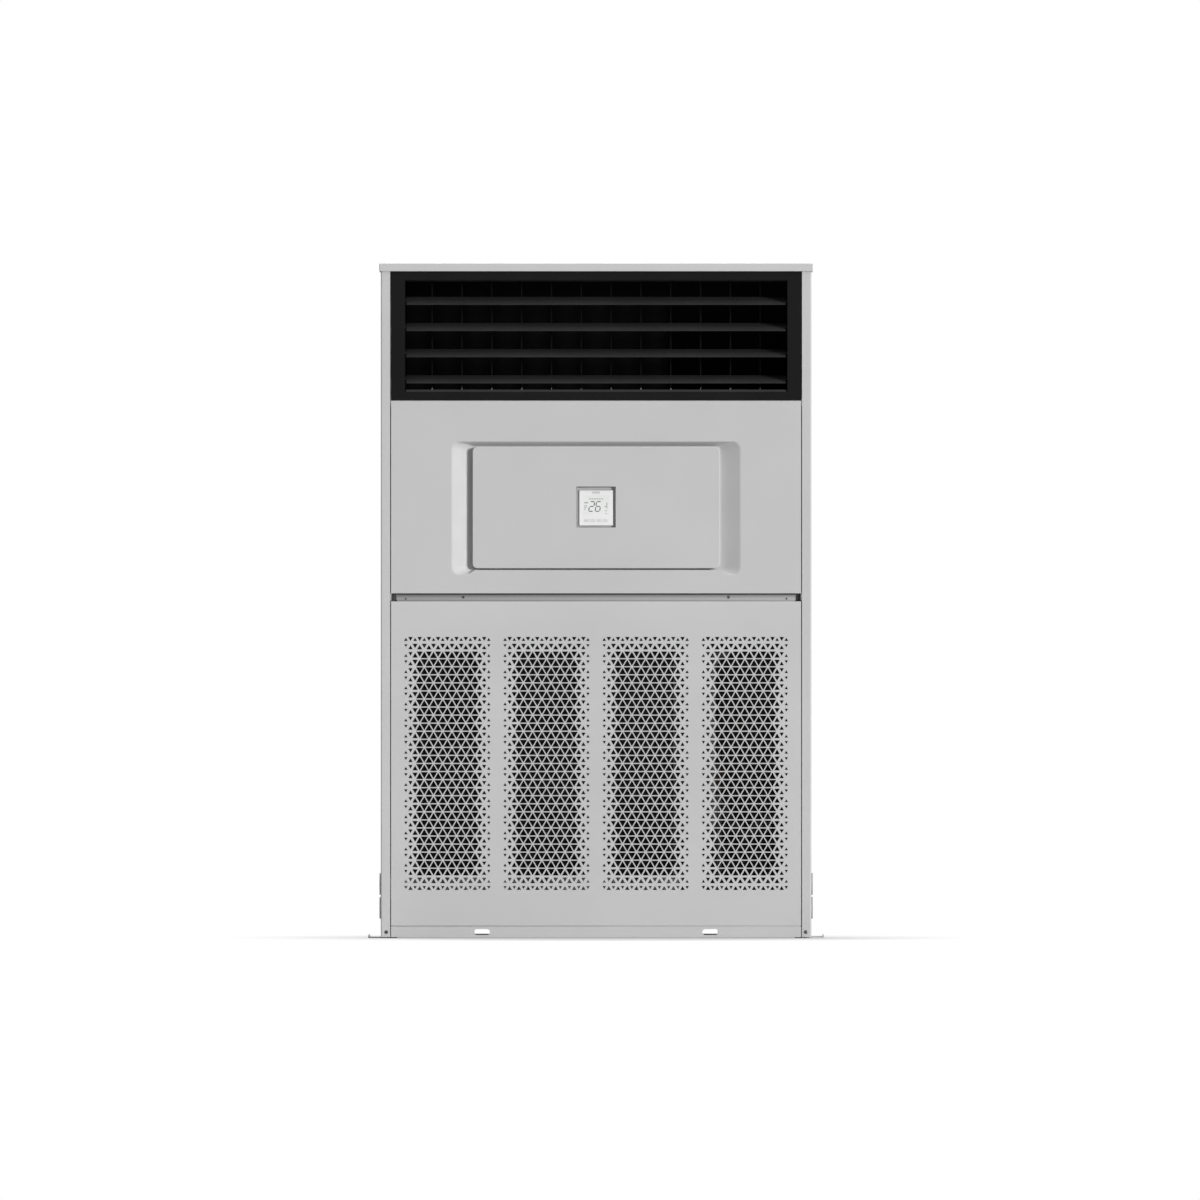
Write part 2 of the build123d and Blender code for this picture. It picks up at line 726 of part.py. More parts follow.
outlet_bezel.part.label = "outlet_bezel"
export_step(outlet_bezel.part, "parts/outlet_bezel.step")

# ================================================================ louvre blades and their link
blade_half = outlet_half - blade_end_gap
half_chord = blade_chord / 2
half_edge = blade_edge / 2
blade_belly = blade_crown - blade_thick  # height of the lower face at the pivot line
tilt_y = cos(radians(blade_tilt))
tilt_z = sin(radians(blade_tilt))
for row, z in enumerate(blade_heights):
    section_plane = Plane(origin=(-blade_half, blade_y, z), x_dir=(0, tilt_y, tilt_z), z_dir=(1, 0, 0))
    with BuildPart() as louver_blade:
        with BuildSketch(section_plane):
            with BuildLine():
                ThreePointArc((-half_chord, half_edge), (0, blade_crown), (half_chord, half_edge))
                Line((half_chord, half_edge), (half_chord, -half_edge))
                ThreePointArc((half_chord, -half_edge), (0, blade_belly), (-half_chord, -half_edge))
                Line((-half_chord, -half_edge), (-half_chord, half_edge))
            make_face()
        extrude(amount=2 * blade_half)
        for side in (-1, 1):
            with BuildSketch(Plane.YZ.offset(side * (blade_half - 1))):
                with Locations((blade_y, z)):
                    RegularPolygon(blade_pivot_r, pin_flat_count)
            extrude(amount=side * (duct_half + duct_wall - blade_half + 1))
        with BuildSketch(Plane.YZ.offset(-blade_half + 1)):
            with Locations((blade_y + blade_crank * tilt_y, z + blade_crank * tilt_z)):
                RegularPolygon(blade_pin_r, small_flat_count)
        extrude(amount=-(duct_side_room + blade_end_gap - 1))
    louver_blade.part.label = f"louver_blade_{row + 1}"
    export_step(louver_blade.part, f"parts/louver_blade_{row + 1}.step")

pin_y = blade_y + blade_crank * tilt_y
pin_lift = blade_crank * tilt_z
link_x = -(blade_half + (duct_side_room + blade_end_gap - link_thick) / 2)
with BuildPart() as blade_link:
    with BuildSketch(Plane.YZ.offset(link_x)):
        block(
            pin_y - link_width / 2,
            pin_y + link_width / 2,
            blade_heights[0] + pin_lift - link_end,
            blade_heights[-1] + pin_lift + link_end,
        )
    extrude(amount=-link_thick)
    with BuildSketch(Plane.YZ.offset(link_x)):
        with Locations(*[(pin_y, z + pin_lift) for z in blade_heights]):
            RegularPolygon(blade_pin_r + pivot_clearance, pin_flat_count, major_radius=False)
    extrude(amount=-link_thick, mode=Mode.SUBTRACT)
blade_link.part.label = "blade_link"
export_step(blade_link.part, "parts/blade_link.step")

with BuildPart() as blade_motor:
    with BuildSketch(Plane.YZ.offset(duct_half + duct_wall)):
        with Locations((blade_y, blade_heights[1])):
            Rectangle(motor_ear_width, motor_ear)
    extrude(amount=motor_ear_thick)
    with BuildSketch(Plane.YZ.offset(duct_half + duct_wall)):
        with Locations((blade_y, blade_heights[1])):
            RegularPolygon(motor_can_r, wide_flat_count)
    extrude(amount=motor_can)
blade_motor.part.label = "blade_motor"
export_step(blade_motor.part, "parts/blade_motor.step")

# ================================================================ vanes, rails and link bar
vane_places = [(column - (vane_count - 1) / 2) * vane_pitch for column in range(vane_count)]
vane_low = duct_low + rail_height + vane_end_gap
vane_high = duct_high - rail_height - vane_end_gap
bar_low = duct_low + rail_height + vane_bar_gap
tab_low = bar_low - 1.0
relief_y = vane_y + vane_crank / 2
tab_y = vane_y + vane_crank - vane_tab / 2
for column, x in enumerate(vane_places):
    with BuildPart() as vane:
        with BuildSketch(Plane.XY.offset(duct_low + vane_end_gap)):
            with Locations((x, vane_y)):
                RegularPolygon(vane_rod_r, small_flat_count)
        extrude(amount=duct_high - duct_low - 2 * vane_end_gap)
        with BuildSketch(Plane.YZ.offset(x)):
            block(vane_y - vane_front, vane_y, vane_low, vane_high)
            with BuildLine():
                Polyline(
                    (vane_y, vane_low),
                    (relief_y, vane_low),
                    (relief_y, vane_low + vane_relief),
                    (tab_y, vane_low + vane_relief),
                    (tab_y, tab_low),
                    (tab_y + vane_tab, tab_low),
                    (tab_y + vane_tab, vane_low + vane_relief),
                    (vane_y + vane_rear, vane_low + vane_relief),
                    (vane_y + vane_rear, vane_high),
                    (vane_y, vane_high),
                    close=True,
                )
            make_face()
        extrude(amount=vane_thick / 2, both=True)
    vane.part.label = f"vane_{column + 1}"
    export_step(vane.part, f"parts/vane_{column + 1}.step")

with BuildPart() as vane_rails:
    for rail_z in (duct_low, duct_high - rail_height):
        with BuildSketch(Plane.XY.offset(rail_z)):
            block(-duct_half, duct_half, vane_y - rail_front, vane_y + rail_rear)
            for x in vane_places:
                with Locations((x, vane_y)):
                    with BuildSketch(mode=Mode.PRIVATE) as notch:
                        block(
                            -vane_rod_r - pivot_clearance,
                            vane_rod_r + pivot_clearance,
                            -vane_rod_r - pivot_clearance,
                            rail_rear + 1,
                        )
                    add(notch.sketch, mode=Mode.SUBTRACT)
        extrude(amount=rail_height)
vane_rails.part.label = "vane_rails"
export_step(vane_rails.part, "parts/vane_rails.step")

fork_half = sqrt(vane_tab**2 + vane_thick**2) / 2 + pivot_clearance  # the tab turns inside the fork
with BuildPart() as vane_link:
    with BuildSketch(Plane.XY.offset(bar_low)):
        with Locations((0, vane_y + vane_crank)):
            Rectangle(vane_places[-1] - vane_places[0] + 2 * link_end, vane_bar_width)
        for x in vane_places:
            with Locations((x, vane_y + vane_crank)):
                with BuildSketch(mode=Mode.PRIVATE) as fork:
                    block(-fork_half, fork_half, -fork_half, vane_bar_width)
                add(fork.sketch, mode=Mode.SUBTRACT)
    extrude(amount=vane_bar_thick)
vane_link.part.label = "vane_link"
export_step(vane_link.part, "parts/vane_link.step")

with BuildPart() as vane_motor:
    with BuildSketch(Plane.XY.offset(duct_high + duct_wall)):
        with Locations((vane_places[0], vane_y)):
            Rectangle(motor_ear, motor_ear_width)
    extrude(amount=motor_ear_thick)
    with BuildSketch(Plane.XY.offset(duct_high + duct_wall)):
        with Locations((vane_places[0], vane_y)):
            RegularPolygon(motor_can_r, wide_flat_count)
    extrude(amount=motor_can)
vane_motor.part.label = "vane_motor"
export_step(vane_motor.part, "parts/vane_motor.step")

# ================================================================ middle panel with its recess
floor_y = front_y + recess_depth
recess_mid = (recess_bottom + recess_top) / 2
control_mid = (control_bottom + control_top) / 2


def recess_volume(grow):
    """Ruled body from the recess's outline to its floor; grow moves its walls out and squares them."""
    mouth = (2 * (recess_half + grow), recess_top - recess_bottom + 2 * grow)
    floor_width = 2 * (cover_half + control_gap + grow)
    floor_height = control_top - control_bottom + 2 * (control_gap + grow)
    with BuildPart() as volume:
        with BuildSketch(upright(front_y)):
            with Locations((0, recess_mid)):
                Rectangle(*mouth)
            if not grow:
                fillet(vertices(), radius=recess_corner_r)
        with BuildSketch(upright(floor_y + grow)):
            with Locations((0, control_mid)):
                Rectangle(floor_width, floor_height)
            if not grow:
                fillet(vertices(), radius=control_corner_r)
        loft(ruled=True)
    return volume.part


sill_top = control_bottom - control_gap
recess_skin = recess_volume(sheet)
recess_space = recess_volume(0)
with BuildPart() as middle_panel:
    with BuildSketch(upright(front_y)):
        block(-panel_half, panel_half, middle_bottom, middle_top)
    extrude(amount=-middle_flange)
    front_edges = middle_panel.edges().filter_by(Axis.Z).group_by(Axis.Y)[0]
    chamfer(front_edges, length=panel_edge)
    with BuildSketch(upright(front_y + sheet)):
        block(-panel_half + sheet, panel_half - sheet, middle_bottom + sheet, middle_top - sheet)
    extrude(amount=-middle_flange, mode=Mode.SUBTRACT)
    with BuildSketch(Plane.XY.offset(middle_bottom)):
        block(-panel_half, panel_half, front_y + middle_bottom_flange, front_y + middle_flange)
    extrude(amount=sheet, mode=Mode.SUBTRACT)
    with BuildSketch(Plane.XY.offset(middle_top - sheet)):
        block(-panel_half + bend, panel_half - bend, front_y + middle_flange, web_y)
    extrude(amount=sheet)
    add(recess_skin)
    add(recess_space, mode=Mode.SUBTRACT)
    with BuildSketch(upright(front_y)):
        block(-sill_half, sill_half, recess_bottom - sheet, sill_top)
    extrude(amount=-recess_depth)
    with BuildSketch(upright(front_y + sheet)):
        block(-sill_half + sheet, sill_half - sheet, recess_bottom - 2 * sheet, sill_top - sheet)
    extrude(amount=-recess_depth, mode=Mode.SUBTRACT)
middle_panel.part.label = "middle_panel"
export_step(middle_panel.part, "parts/middle_panel.step")

# ================================================================ control cover
with BuildPart() as control_cover:
    with BuildSketch(upright(front_y)):
        with Locations((0, control_mid)):
            RectangleRounded(2 * cover_half, control_top - control_bottom, control_corner_r)
    extrude(amount=-(recess_depth - seat_gap))
    chamfer(control_cover.faces().sort_by(Axis.Y)[0].edges(), length=control_edge)
    with BuildSketch(upright(front_y + control_wall)):
        with Locations((0, control_mid)):
            RectangleRounded(
                2 * (cover_half - control_wall),
                control_top - control_bottom - 2 * control_wall,
                control_corner_r - control_wall,
            )
    extrude(amount=-recess_depth, mode=Mode.SUBTRACT)
    with BuildSketch(upright(front_y + control_wall)):
        block(
            -window_width / 2 - control_wall,
            window_width / 2 + control_wall,
            window_bottom - control_wall,
            window_top + control_wall,
        )
        for side in (-1, 1):
            for z in (control_bottom + boss_inset, control_top - boss_inset):
                with Locations((side * (cover_half - boss_inset), z)):
                    Rectangle(boss_side, boss_side)
    extrude(amount=-(recess_depth - control_wall - seat_gap))
    with BuildSketch(upright(front_y)):
        block(-window_width / 2, window_width / 2, window_bottom, window_top)
    extrude(amount=-recess_depth, mode=Mode.SUBTRACT)
control_cover.part.label = "control_cover"
export_step(control_cover.part, "parts/control_cover.step")

# ================================================================ wired controller
controller_front = floor_y - controller_depth
key_places = [(number - (key_count - 1) / 2) * key_pitch for number in range(key_count)]
with BuildPart() as controller_case:
    with BuildSketch(upright(floor_y)):
        block(-controller_width / 2, controller_width / 2, controller_bottom, controller_top)
        chamfer(vertices(), length=controller_edge)
    extrude(amount=controller_depth)
    chamfer(controller_case.faces().sort_by(Axis.Y)[0].edges(), length=controller_edge)
    with BuildSketch(upright(controller_front)):
        block(-display_width / 2, display_width / 2, display_bottom, display_top)
    extrude(amount=-display_glass, mode=Mode.SUBTRACT)
    with BuildSketch(upright(controller_front)):
        with Locations(*[(x, key_z) for x in key_places]):
            Rectangle(key_width + 2 * key_gap, key_height + 2 * key_gap)
    extrude(amount=-(key_body - key_proud + key_well), mode=Mode.SUBTRACT)
controller_case.part.label = "controller_case"
export_step(controller_case.part, "parts/controller_case.step")

with BuildPart() as lcd_glass:
    with BuildSketch(upright(controller_front)):
        block(-display_width / 2, display_width / 2, display_bottom, display_top)
    extrude(amount=-display_glass)
lcd_glass.part.label = "lcd_glass"
export_step(lcd_glass.part, "parts/lcd_glass.step")

for number, x in enumerate(key_places):
    with BuildPart() as key:
        with BuildSketch(upright(controller_front - key_proud)):
            with Locations((x, key_z)):
                Rectangle(key_width, key_height)
        extrude(amount=-key_body)
        chamfer(key.faces().sort_by(Axis.Y)[0].edges(), length=0.4)
    key.part.label = f"key_{number + 1}"
    export_step(key.part, f"parts/key_{number + 1}.step")

# ================================================================ intake panel, its screws and filters
flange_y = front_y + channel_depth
row_height = lattice_side * sqrt(3) / 2
lattice_rows = int((field_top - field_bottom) / row_height)
cells_per_row = int(2 * field_width / lattice_side) - 1
full_hole_r = lattice_side / sqrt(3) - lattice_rib
field_places = [(number - (field_count - 1) / 2) * field_pitch for number in range(field_count)]
with BuildPart() as intake_panel:
    with BuildSketch(upright(front_y)):
        block(-panel_half, panel_half, intake_bottom, intake_top)
    extrude(amount=-intake_flange)
    chamfer(intake_panel.faces().sort_by(Axis.Y)[0].edges(), length=panel_edge)
    with BuildSketch(upright(front_y + sheet)):
        block(-panel_half + sheet, panel_half - sheet, intake_bottom + sheet, intake_top - sheet)
    extrude(amount=-intake_flange, mode=Mode.SUBTRACT)
    with BuildSketch(Plane.XY.offset(intake_top - sheet)):
        block(-panel_half, panel_half, flange_y + sheet, front_y + intake_flange)
    extrude(amount=sheet, mode=Mode.SUBTRACT)
    with BuildSketch(Plane.XY.offset(intake_top - sheet)):
        block(-screw_flange_half, screw_flange_half, flange_y, flange_y + sheet)
    extrude(amount=screw_flange_top - intake_top + sheet)
    for place in field_places:
        with BuildSketch(upright(front_y)):
            for row in range(lattice_rows):
                for cell in range(cells_per_row):
                    points_up = (row + cell) % 2 == 0
                    edge = min(row, lattice_rows - 1 - row, cell, cells_per_row - 1 - cell)
                    size = full_hole_r * (edge_scale if edge == 0 else 1.0)
                    lift = row_height / 3 if points_up else 2 * row_height / 3
                    spot = (
                        place + (cell - (cells_per_row - 1) / 2) * lattice_side / 2,
                        (field_bottom + field_top - lattice_rows * row_height) / 2 + row * row_height + lift,
                    )
                    with Locations(spot):
                        RegularPolygon(size, 3, rotation=90 if points_up else -90)
        extrude(amount=-sheet, mode=Mode.SUBTRACT)
intake_panel.part.label = "intake_panel"
export_step(intake_panel.part, "parts/intake_panel.step")

captive_z = (intake_top + screw_flange_top) / 2 + 2.5
with BuildPart() as intake_screws:
    with BuildSketch(upright(flange_y)):
        with Locations((-captive_x, captive_z), (captive_x, captive_z)):
            RegularPolygon(captive_head_r, pin_flat_count)
    extrude(amount=captive_head)
intake_screws.part.label = "intake_screws"
export_step(intake_screws.part, "parts/intake_screws.step")

filter_low = field_bottom - filter_margin
filter_high = field_top + filter_margin
filter_height = filter_high - filter_low
filter_half = (field_pitch + field_width) / 2 + filter_side_margin
filter_pane = filter_half - 1.5 * filter_bar
with BuildPart() as air_filters:
    for side in (-1, 1):
        filter_mid = side * field_pitch
        with BuildSketch(upright(front_y + sheet)):
            block(filter_mid - filter_half, filter_mid + filter_half, filter_low, filter_high)
            with Locations((filter_mid, (filter_low + filter_high) / 2)):
                with GridLocations(filter_half, 0, 2, 1):
                    Rectangle(filter_pane, filter_height - 2 * filter_bar, mode=Mode.SUBTRACT)
            for rib in range(1, filter_rib_count + 1):
                with Locations((filter_mid, filter_low + rib * filter_height / (filter_rib_count + 1))):
                    Rectangle(2 * filter_half, filter_rib)
        extrude(amount=-filter_depth)
air_filters.part.label = "air_filters"
export_step(air_filters.part, "parts/air_filters.step")

# ================================================================ electrical box
box_front = floor_y + sheet + seat_gap
with BuildPart() as electrical_box:
    with BuildSketch(upright(box_front)):
        block(-box_half, box_half, rail_top, box_top)
    extrude(amount=box_front - box_back)
    with BuildSketch(upright(box_front)):
        block(-box_half + sheet, box_half - sheet, rail_top + sheet, box_top - sheet)
    extrude(amount=box_front - box_back + sheet, mode=Mode.SUBTRACT)
electrical_box.part.label = "electrical_box"
export_step(electrical_box.part, "parts/electrical_box.step")

box_floor = box_back - sheet
with BuildPart() as circuit_board:
    with BuildSketch(upright(box_floor - standoff)):
        with Locations((0, board_z)):
            Rectangle(board_width, board_height)
    extrude(amount=board_thick)
    with BuildSketch(upright(box_floor)):
        with Locations((0, board_z)):
            with GridLocations(board_width - 20, board_height - 20, 2, 2):
                Rectangle(6, 6)
    extrude(amount=standoff)
    board_face = box_floor - standoff - board_thick
    with BuildSketch(upright(board_face)):
        with Locations((0, board_z + relay_row)):
            with GridLocations(relay_pitch, 0, relay_count, 1):
                Rectangle(relay_size[0], relay_size[1])
    extrude(amount=relay_size[2])
    with BuildSketch(upright(board_face)):
        with Locations((transformer_place[0], board_z + transformer_place[1])):
            Rectangle(transformer_size[0], transformer_size[1])
    extrude(amount=transformer_size[2])
    with BuildSketch(upright(board_face)):
        with Locations((chip_place[0], board_z + chip_place[1])):
            Rectangle(chip_size, chip_size)
        with Locations((plug_place[0], board_z + plug_place[1])):
            with GridLocations(plug_pitch, 0, plug_count, 1):
                Rectangle(plug_size[0], plug_size[1])
    extrude(amount=low_part_height)
circuit_board.part.label = "circuit_board"
export_step(circuit_board.part, "parts/circuit_board.step")

pole_pitch = terminal_width / terminal_pole_count
with BuildPart() as terminal_block:
    with BuildSketch(upright(box_floor)):
        with Locations((0, terminal_z)):
            Rectangle(terminal_width, terminal_height)
    extrude(amount=terminal_depth / 2)
    with BuildSketch(upright(box_floor)):
        for wall in range(terminal_pole_count + 1):
            with Locations((wall * pole_pitch - terminal_width / 2, terminal_z)):
                Rectangle(3, terminal_height)
    extrude(amount=terminal_depth)
terminal_block.part.label = "terminal_block"
export_step(terminal_block.part, "parts/terminal_block.step")

# ================================================================ coil
coil_run = sqrt((coil_high_y - coil_low_y) ** 2 + (coil_high_z - coil_low_z) ** 2)
coil_up = ((coil_high_y - coil_low_y) / coil_run, (coil_high_z - coil_low_z) / coil_run)


def coil_plane(x):
    """Plane across the coil at x: local x runs up along the slanted block, local y through it forwards."""
    return Plane(origin=(x, coil_low_y, coil_low_z), x_dir=(0, coil_up[0], coil_up[1]), z_dir=(1, 0, 0))


fin_count = int(coil_length / fin_pitch)
with BuildPart() as coil_heart:
    with BuildSketch(coil_plane(coil_left)):
        block(0, coil_run, -coil_thick / 2, coil_core - coil_thick / 2)
    extrude(amount=coil_length)
with BuildPart() as coil_ribs:
    for fin in range(fin_count):
        with BuildSketch(coil_plane(coil_left + (fin + 0.5) * coil_length / fin_count)):
            block(0, coil_run, coil_core - coil_thick / 2, coil_thick / 2)
        extrude(amount=fin_thick)
coil_fins = Compound(label="coil_fins", children=[coil_heart.part, coil_ribs.part])
export_step(coil_fins, "parts/coil_fins.step")

tray_floor = tray_bottom + tray_wall
with BuildPart() as coil_end_plates:
    for x in (coil_left - sheet, coil_right):
        with BuildSketch(coil_plane(x)):
            block(
                -end_plate_margin,
                coil_run + end_plate_margin,
                -coil_thick / 2 - end_plate_margin,
                coil_thick / 2 + end_plate_margin,
            )
        extrude(amount=sheet)
        with BuildSketch(Plane.YZ.offset(x)):
            block(coil_low_y - end_leg / 2, coil_low_y + end_leg / 2, tray_floor, coil_low_z + coil_thick)
            block(web_y + sheet, web_y + sheet + end_ear, coil_high_z, rail_bottom)
        extrude(amount=sheet)
coil_end_plates.part.label = "coil_end_plates"
export_step(coil_end_plates.part, "parts/coil_end_plates.step")

with BuildPart() as drain_pan:
    with BuildSketch(Plane.XY.offset(tray_bottom)):
        block(tray_left, tray_right, tray_front, tray_back)
    extrude(amount=tray_top - tray_bottom)
    with BuildSketch(Plane.XY.offset(tray_floor)):
        block(tray_left + tray_wall, tray_right - tray_wall, tray_front + tray_wall, tray_back - tray_wall)
    extrude(amount=tray_top - tray_floor, mode=Mode.SUBTRACT)
    tray_mid = (tray_left + tray_right) / 2
    with BuildSketch(Plane.XY.offset(skirt_top)):
        for side in (-1, 1):
            with Locations((tray_mid + side * stand_reach, (tray_front + tray_back) / 2)):
                Rectangle(stand_width, tray_back - tray_front - 20)
                Rectangle(stand_width - 2 * sheet, tray_back - tray_front, mode=Mode.SUBTRACT)
    extrude(amount=tray_bottom - skirt_top)
    with BuildSketch(Plane.YZ.offset(tray_right)):
        with Locations((tray_front + 3 * spout_r, tray_floor + spout_r + 2)):
            RegularPolygon(spout_r, pin_flat_count)
    extrude(amount=spout_length)
    with BuildSketch(Plane.YZ.offset(tray_right - 2 * tray_wall)):
        with Locations((tray_front + 3 * spout_r, tray_floor + spout_r + 2)):
            RegularPolygon(spout_r - tray_wall, pin_flat_count)
    extrude(amount=spout_length + 2 * tray_wall, mode=Mode.SUBTRACT)
drain_pan.part.label = "drain_pan"
export_step(drain_pan.part, "parts/drain_pan.step")

# ================================================================ pipework on the coil's right end
plate_face = coil_right + sheet


def on_coil(along, through=0.0):
    """(y, z) of a place on the coil, measured up along it and through it towards the front."""
    plane = coil_plane(0)
    spot = plane.from_local_coords(Vector(along, through, 0))
    return spot.Y, spot.Z


with BuildPart() as return_bends:
    for row in range(bend_row_count):
        low = 2 * bend_pitch * row + 1.5 * bend_pitch
        for through in (-coil_thick / 4, coil_thick / 4):
            start = on_coil(low, through)
            finish = on_coil(low + bend_pitch, through)
            hairpin = [
                (plate_face, start[0], start[1]),
                (plate_face + bend_out, start[0], start[1]),
                (plate_face + bend_out, finish[0], finish[1]),
                (plate_face, finish[0], finish[1]),
            ]
            add(tube(hairpin, bend_tube_r, small_flat_count))
return_bends.part.label = "return_bends"
export_step(return_bends.part, "parts/return_bends.step")

header_high = coil_run - header_head_room
header_foot = on_coil(header_low, header_through)
header_head = on_coil(header_high, header_through)
gas_start = on_coil(header_high - 2 * header_r, header_through)
with BuildPart() as suction_header:
    add(tube([(header_x, *header_foot), (header_x, *header_head)], header_r, pipe_flat_count))
    for number in range(stub_count):
        along = header_low + (number + 0.5) * (header_high - header_low) / stub_count
        place = on_coil(along, header_through)
        add(tube([(plate_face, *place), (header_x, *place)], stub_r, small_flat_count))
    gas_corners = [
        (header_x, *gas_start),
        (gas_x, *gas_start),
        (gas_x, gas_y, gas_turn_z),
        (gas_x + 2 * gas_bend, port_y, port_heights[1]),
        (inner_half - pipe_end_gap, port_y, port_heights[1]),
    ]
    add(tube(bent(gas_corners, gas_bend), gas_r, pipe_flat_count))
suction_header.part.label = "suction_header"
export_step(suction_header.part, "parts/suction_header.step")

cone_y, cone_z = on_coil(distributor_low, coil_thick / 2 + distributor_r)
cone_top = cone_z + distributor_length
with BuildPart() as distributor:
    with BuildSketch(Plane.XY.offset(cone_z)):
        with Locations((liquid_x, cone_y)):
            RegularPolygon(distributor_neck_r, pipe_flat_count)
    with BuildSketch(Plane.XY.offset(cone_top)):
        with Locations((liquid_x, cone_y)):
            RegularPolygon(distributor_r, pipe_flat_count)
    loft()
    for number in range(feed_count):
        target = on_coil(distributor_low + 2 * bend_pitch * (number + 1), coil_thick / 4)
        spread = (number - (feed_count - 1) / 2) * 2.6 * feed_r
        feed = [
            (liquid_x + spread, cone_y, cone_top - 1),
            (liquid_x + spread, cone_y, cone_top + 30 + 12 * number),
            (feed_x, *target),
            (plate_face, *target),
        ]
        add(tube(feed, feed_r, small_flat_count))
    liquid_corners = [
        (liquid_x, cone_y, cone_z + 1),
        (liquid_x, cone_y, port_heights[0]),
        (liquid_x + 2 * liquid_bend, port_y, port_heights[0]),
        (inner_half - pipe_end_gap, port_y, port_heights[0]),
    ]
    add(tube(bent(liquid_corners, liquid_bend), liquid_r, pipe_flat_count))
distributor.part.label = "distributor"
export_step(distributor.part, "parts/distributor.step")

# ================================================================ cabinet screws
post_screw_x = half_width - post_width * 0.6
back_screw_x = half_width - back_flange / 2 - sheet
with BuildPart() as cabinet_screws:
    with BuildSketch(upright(front_y)):
        with Locations((-post_screw_x, lift_slot_z), (post_screw_x, lift_slot_z)):
            RegularPolygon(screw_r, pin_flat_count)
    extrude(amount=screw_head)
    with BuildSketch(rear_face):
        for z in back_screw_rows:
            with Locations((-back_screw_x, z), (back_screw_x, z)):
                RegularPolygon(screw_r, small_flat_count)
    extrude(amount=screw_head)
cabinet_screws.part.label = "cabinet_screws"
export_step(cabinet_screws.part, "parts/cabinet_screws.step")
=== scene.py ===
import bmesh
import bpy
import json
from math import pi, radians, tan
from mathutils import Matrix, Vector


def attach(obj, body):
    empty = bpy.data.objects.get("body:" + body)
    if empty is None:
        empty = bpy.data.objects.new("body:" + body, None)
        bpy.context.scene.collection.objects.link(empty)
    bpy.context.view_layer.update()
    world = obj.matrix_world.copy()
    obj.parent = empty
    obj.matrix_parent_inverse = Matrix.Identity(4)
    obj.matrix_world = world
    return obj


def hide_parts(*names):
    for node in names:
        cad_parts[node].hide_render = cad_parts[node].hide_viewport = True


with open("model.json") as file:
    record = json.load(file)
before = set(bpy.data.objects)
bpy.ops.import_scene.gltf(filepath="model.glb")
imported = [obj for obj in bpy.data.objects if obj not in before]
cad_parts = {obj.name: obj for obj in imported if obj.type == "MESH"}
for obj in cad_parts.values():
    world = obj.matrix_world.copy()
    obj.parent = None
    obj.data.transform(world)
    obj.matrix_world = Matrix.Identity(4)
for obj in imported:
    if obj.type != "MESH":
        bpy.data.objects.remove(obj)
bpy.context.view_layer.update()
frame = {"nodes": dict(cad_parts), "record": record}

# Metres. +Z is up, +X is to the right of someone who faces the cabinet, the front looks towards -Y.
SHEET = 0.0015
FRONT = -0.2
PANEL_HALF = 0.5665
FLANGE_HALF = 0.55
FLANGE_FRONT, FLANGE_BACK = -0.188, -0.1865
FLANGE_LOW, FLANGE_HIGH = 0.9325, 0.949
BOTH_SIDES = ((-1, "left"), (1, "right"))
CLOSE = 1e-4  # two places nearer than this are the same
FACING = 0.9  # share of a normal along an axis from which a face looks that way


# ---- ways of working
def clear_bench():
    """Back to object mode with nothing selected."""
    if bpy.context.mode != "OBJECT":
        bpy.ops.object.mode_set(mode="OBJECT")
    bpy.ops.object.select_all(action="DESELECT")


def bring_up(piece):
    """Make one piece the selected and active one."""
    clear_bench()
    piece.select_set(True)
    bpy.context.view_layer.objects.active = piece


def settle(piece, name):
    """Bring the piece's place, turn and size into its mesh, and name it."""
    bring_up(piece)
    bpy.ops.object.transform_apply(location=True, rotation=True, scale=True)
    piece.name = name
    piece.data.name = name
    return piece


def box_blank(name, low, high):
    """Cube stretched between two corners."""
    clear_bench()
    middle = [(a + b) / 2 for a, b in zip(low, high)]
    bpy.ops.mesh.primitive_cube_add(size=1, location=middle)
    piece = bpy.context.active_object
    piece.scale = [b - a for a, b in zip(low, high)]
    return settle(piece, name)


UPRIGHT = (pi / 2, 0, 0)
TURNS = {"X": (0, pi / 2, 0), "Y": UPRIGHT, "Z": (0, 0, 0)}


def rod_blank(name, axis, middle, radius, length, sides=32):
    """Cylinder along one axis."""
    clear_bench()
    bpy.ops.mesh.primitive_cylinder_add(
        vertices=sides, radius=radius, depth=length, location=middle, rotation=TURNS[axis]
    )
    return settle(bpy.context.active_object, name)


def pick_all():
    bpy.ops.mesh.select_all(action="SELECT")


def pick_none():
    bpy.ops.mesh.select_all(action="DESELECT")


def shape(piece, kind="FACE"):
    """Into edit mode with nothing selected."""
    bring_up(piece)
    bpy.ops.object.mode_set(mode="EDIT")
    bpy.ops.mesh.select_mode(type=kind)
    pick_none()


def done_shaping():
    bpy.ops.object.mode_set(mode="OBJECT")


def near(value, goal, reach=CLOSE):
    return abs(value - goal) < reach


def on_line(axis, place):
    """Test for edges with both ends at one place along an axis."""
    return lambda a, b: near(a[axis], place) and near(b[axis], place)


def runs_deep(a, b):
    """Test for edges that run from front to back."""
    return near(a.x, b.x) and near(a.z, b.z)


def pick_faces(piece, test):
    """Select the faces whose middle and normal pass the test, on top of what is selected."""
    mesh = bmesh.from_edit_mesh(piece.data)
    for face in mesh.faces:
        if test(face.calc_center_median(), face.normal):
            face.select_set(True)
    bmesh.update_edit_mesh(piece.data)


def pick_edges(piece, test):
    """Select the edges whose two ends pass the test, and count them."""
    mesh = bmesh.from_edit_mesh(piece.data)
    found = [edge for edge in mesh.edges if test(edge.verts[0].co, edge.verts[1].co)]
    for edge in found:
        edge.select_set(True)
    bmesh.update_edit_mesh(piece.data)
    return len(found)


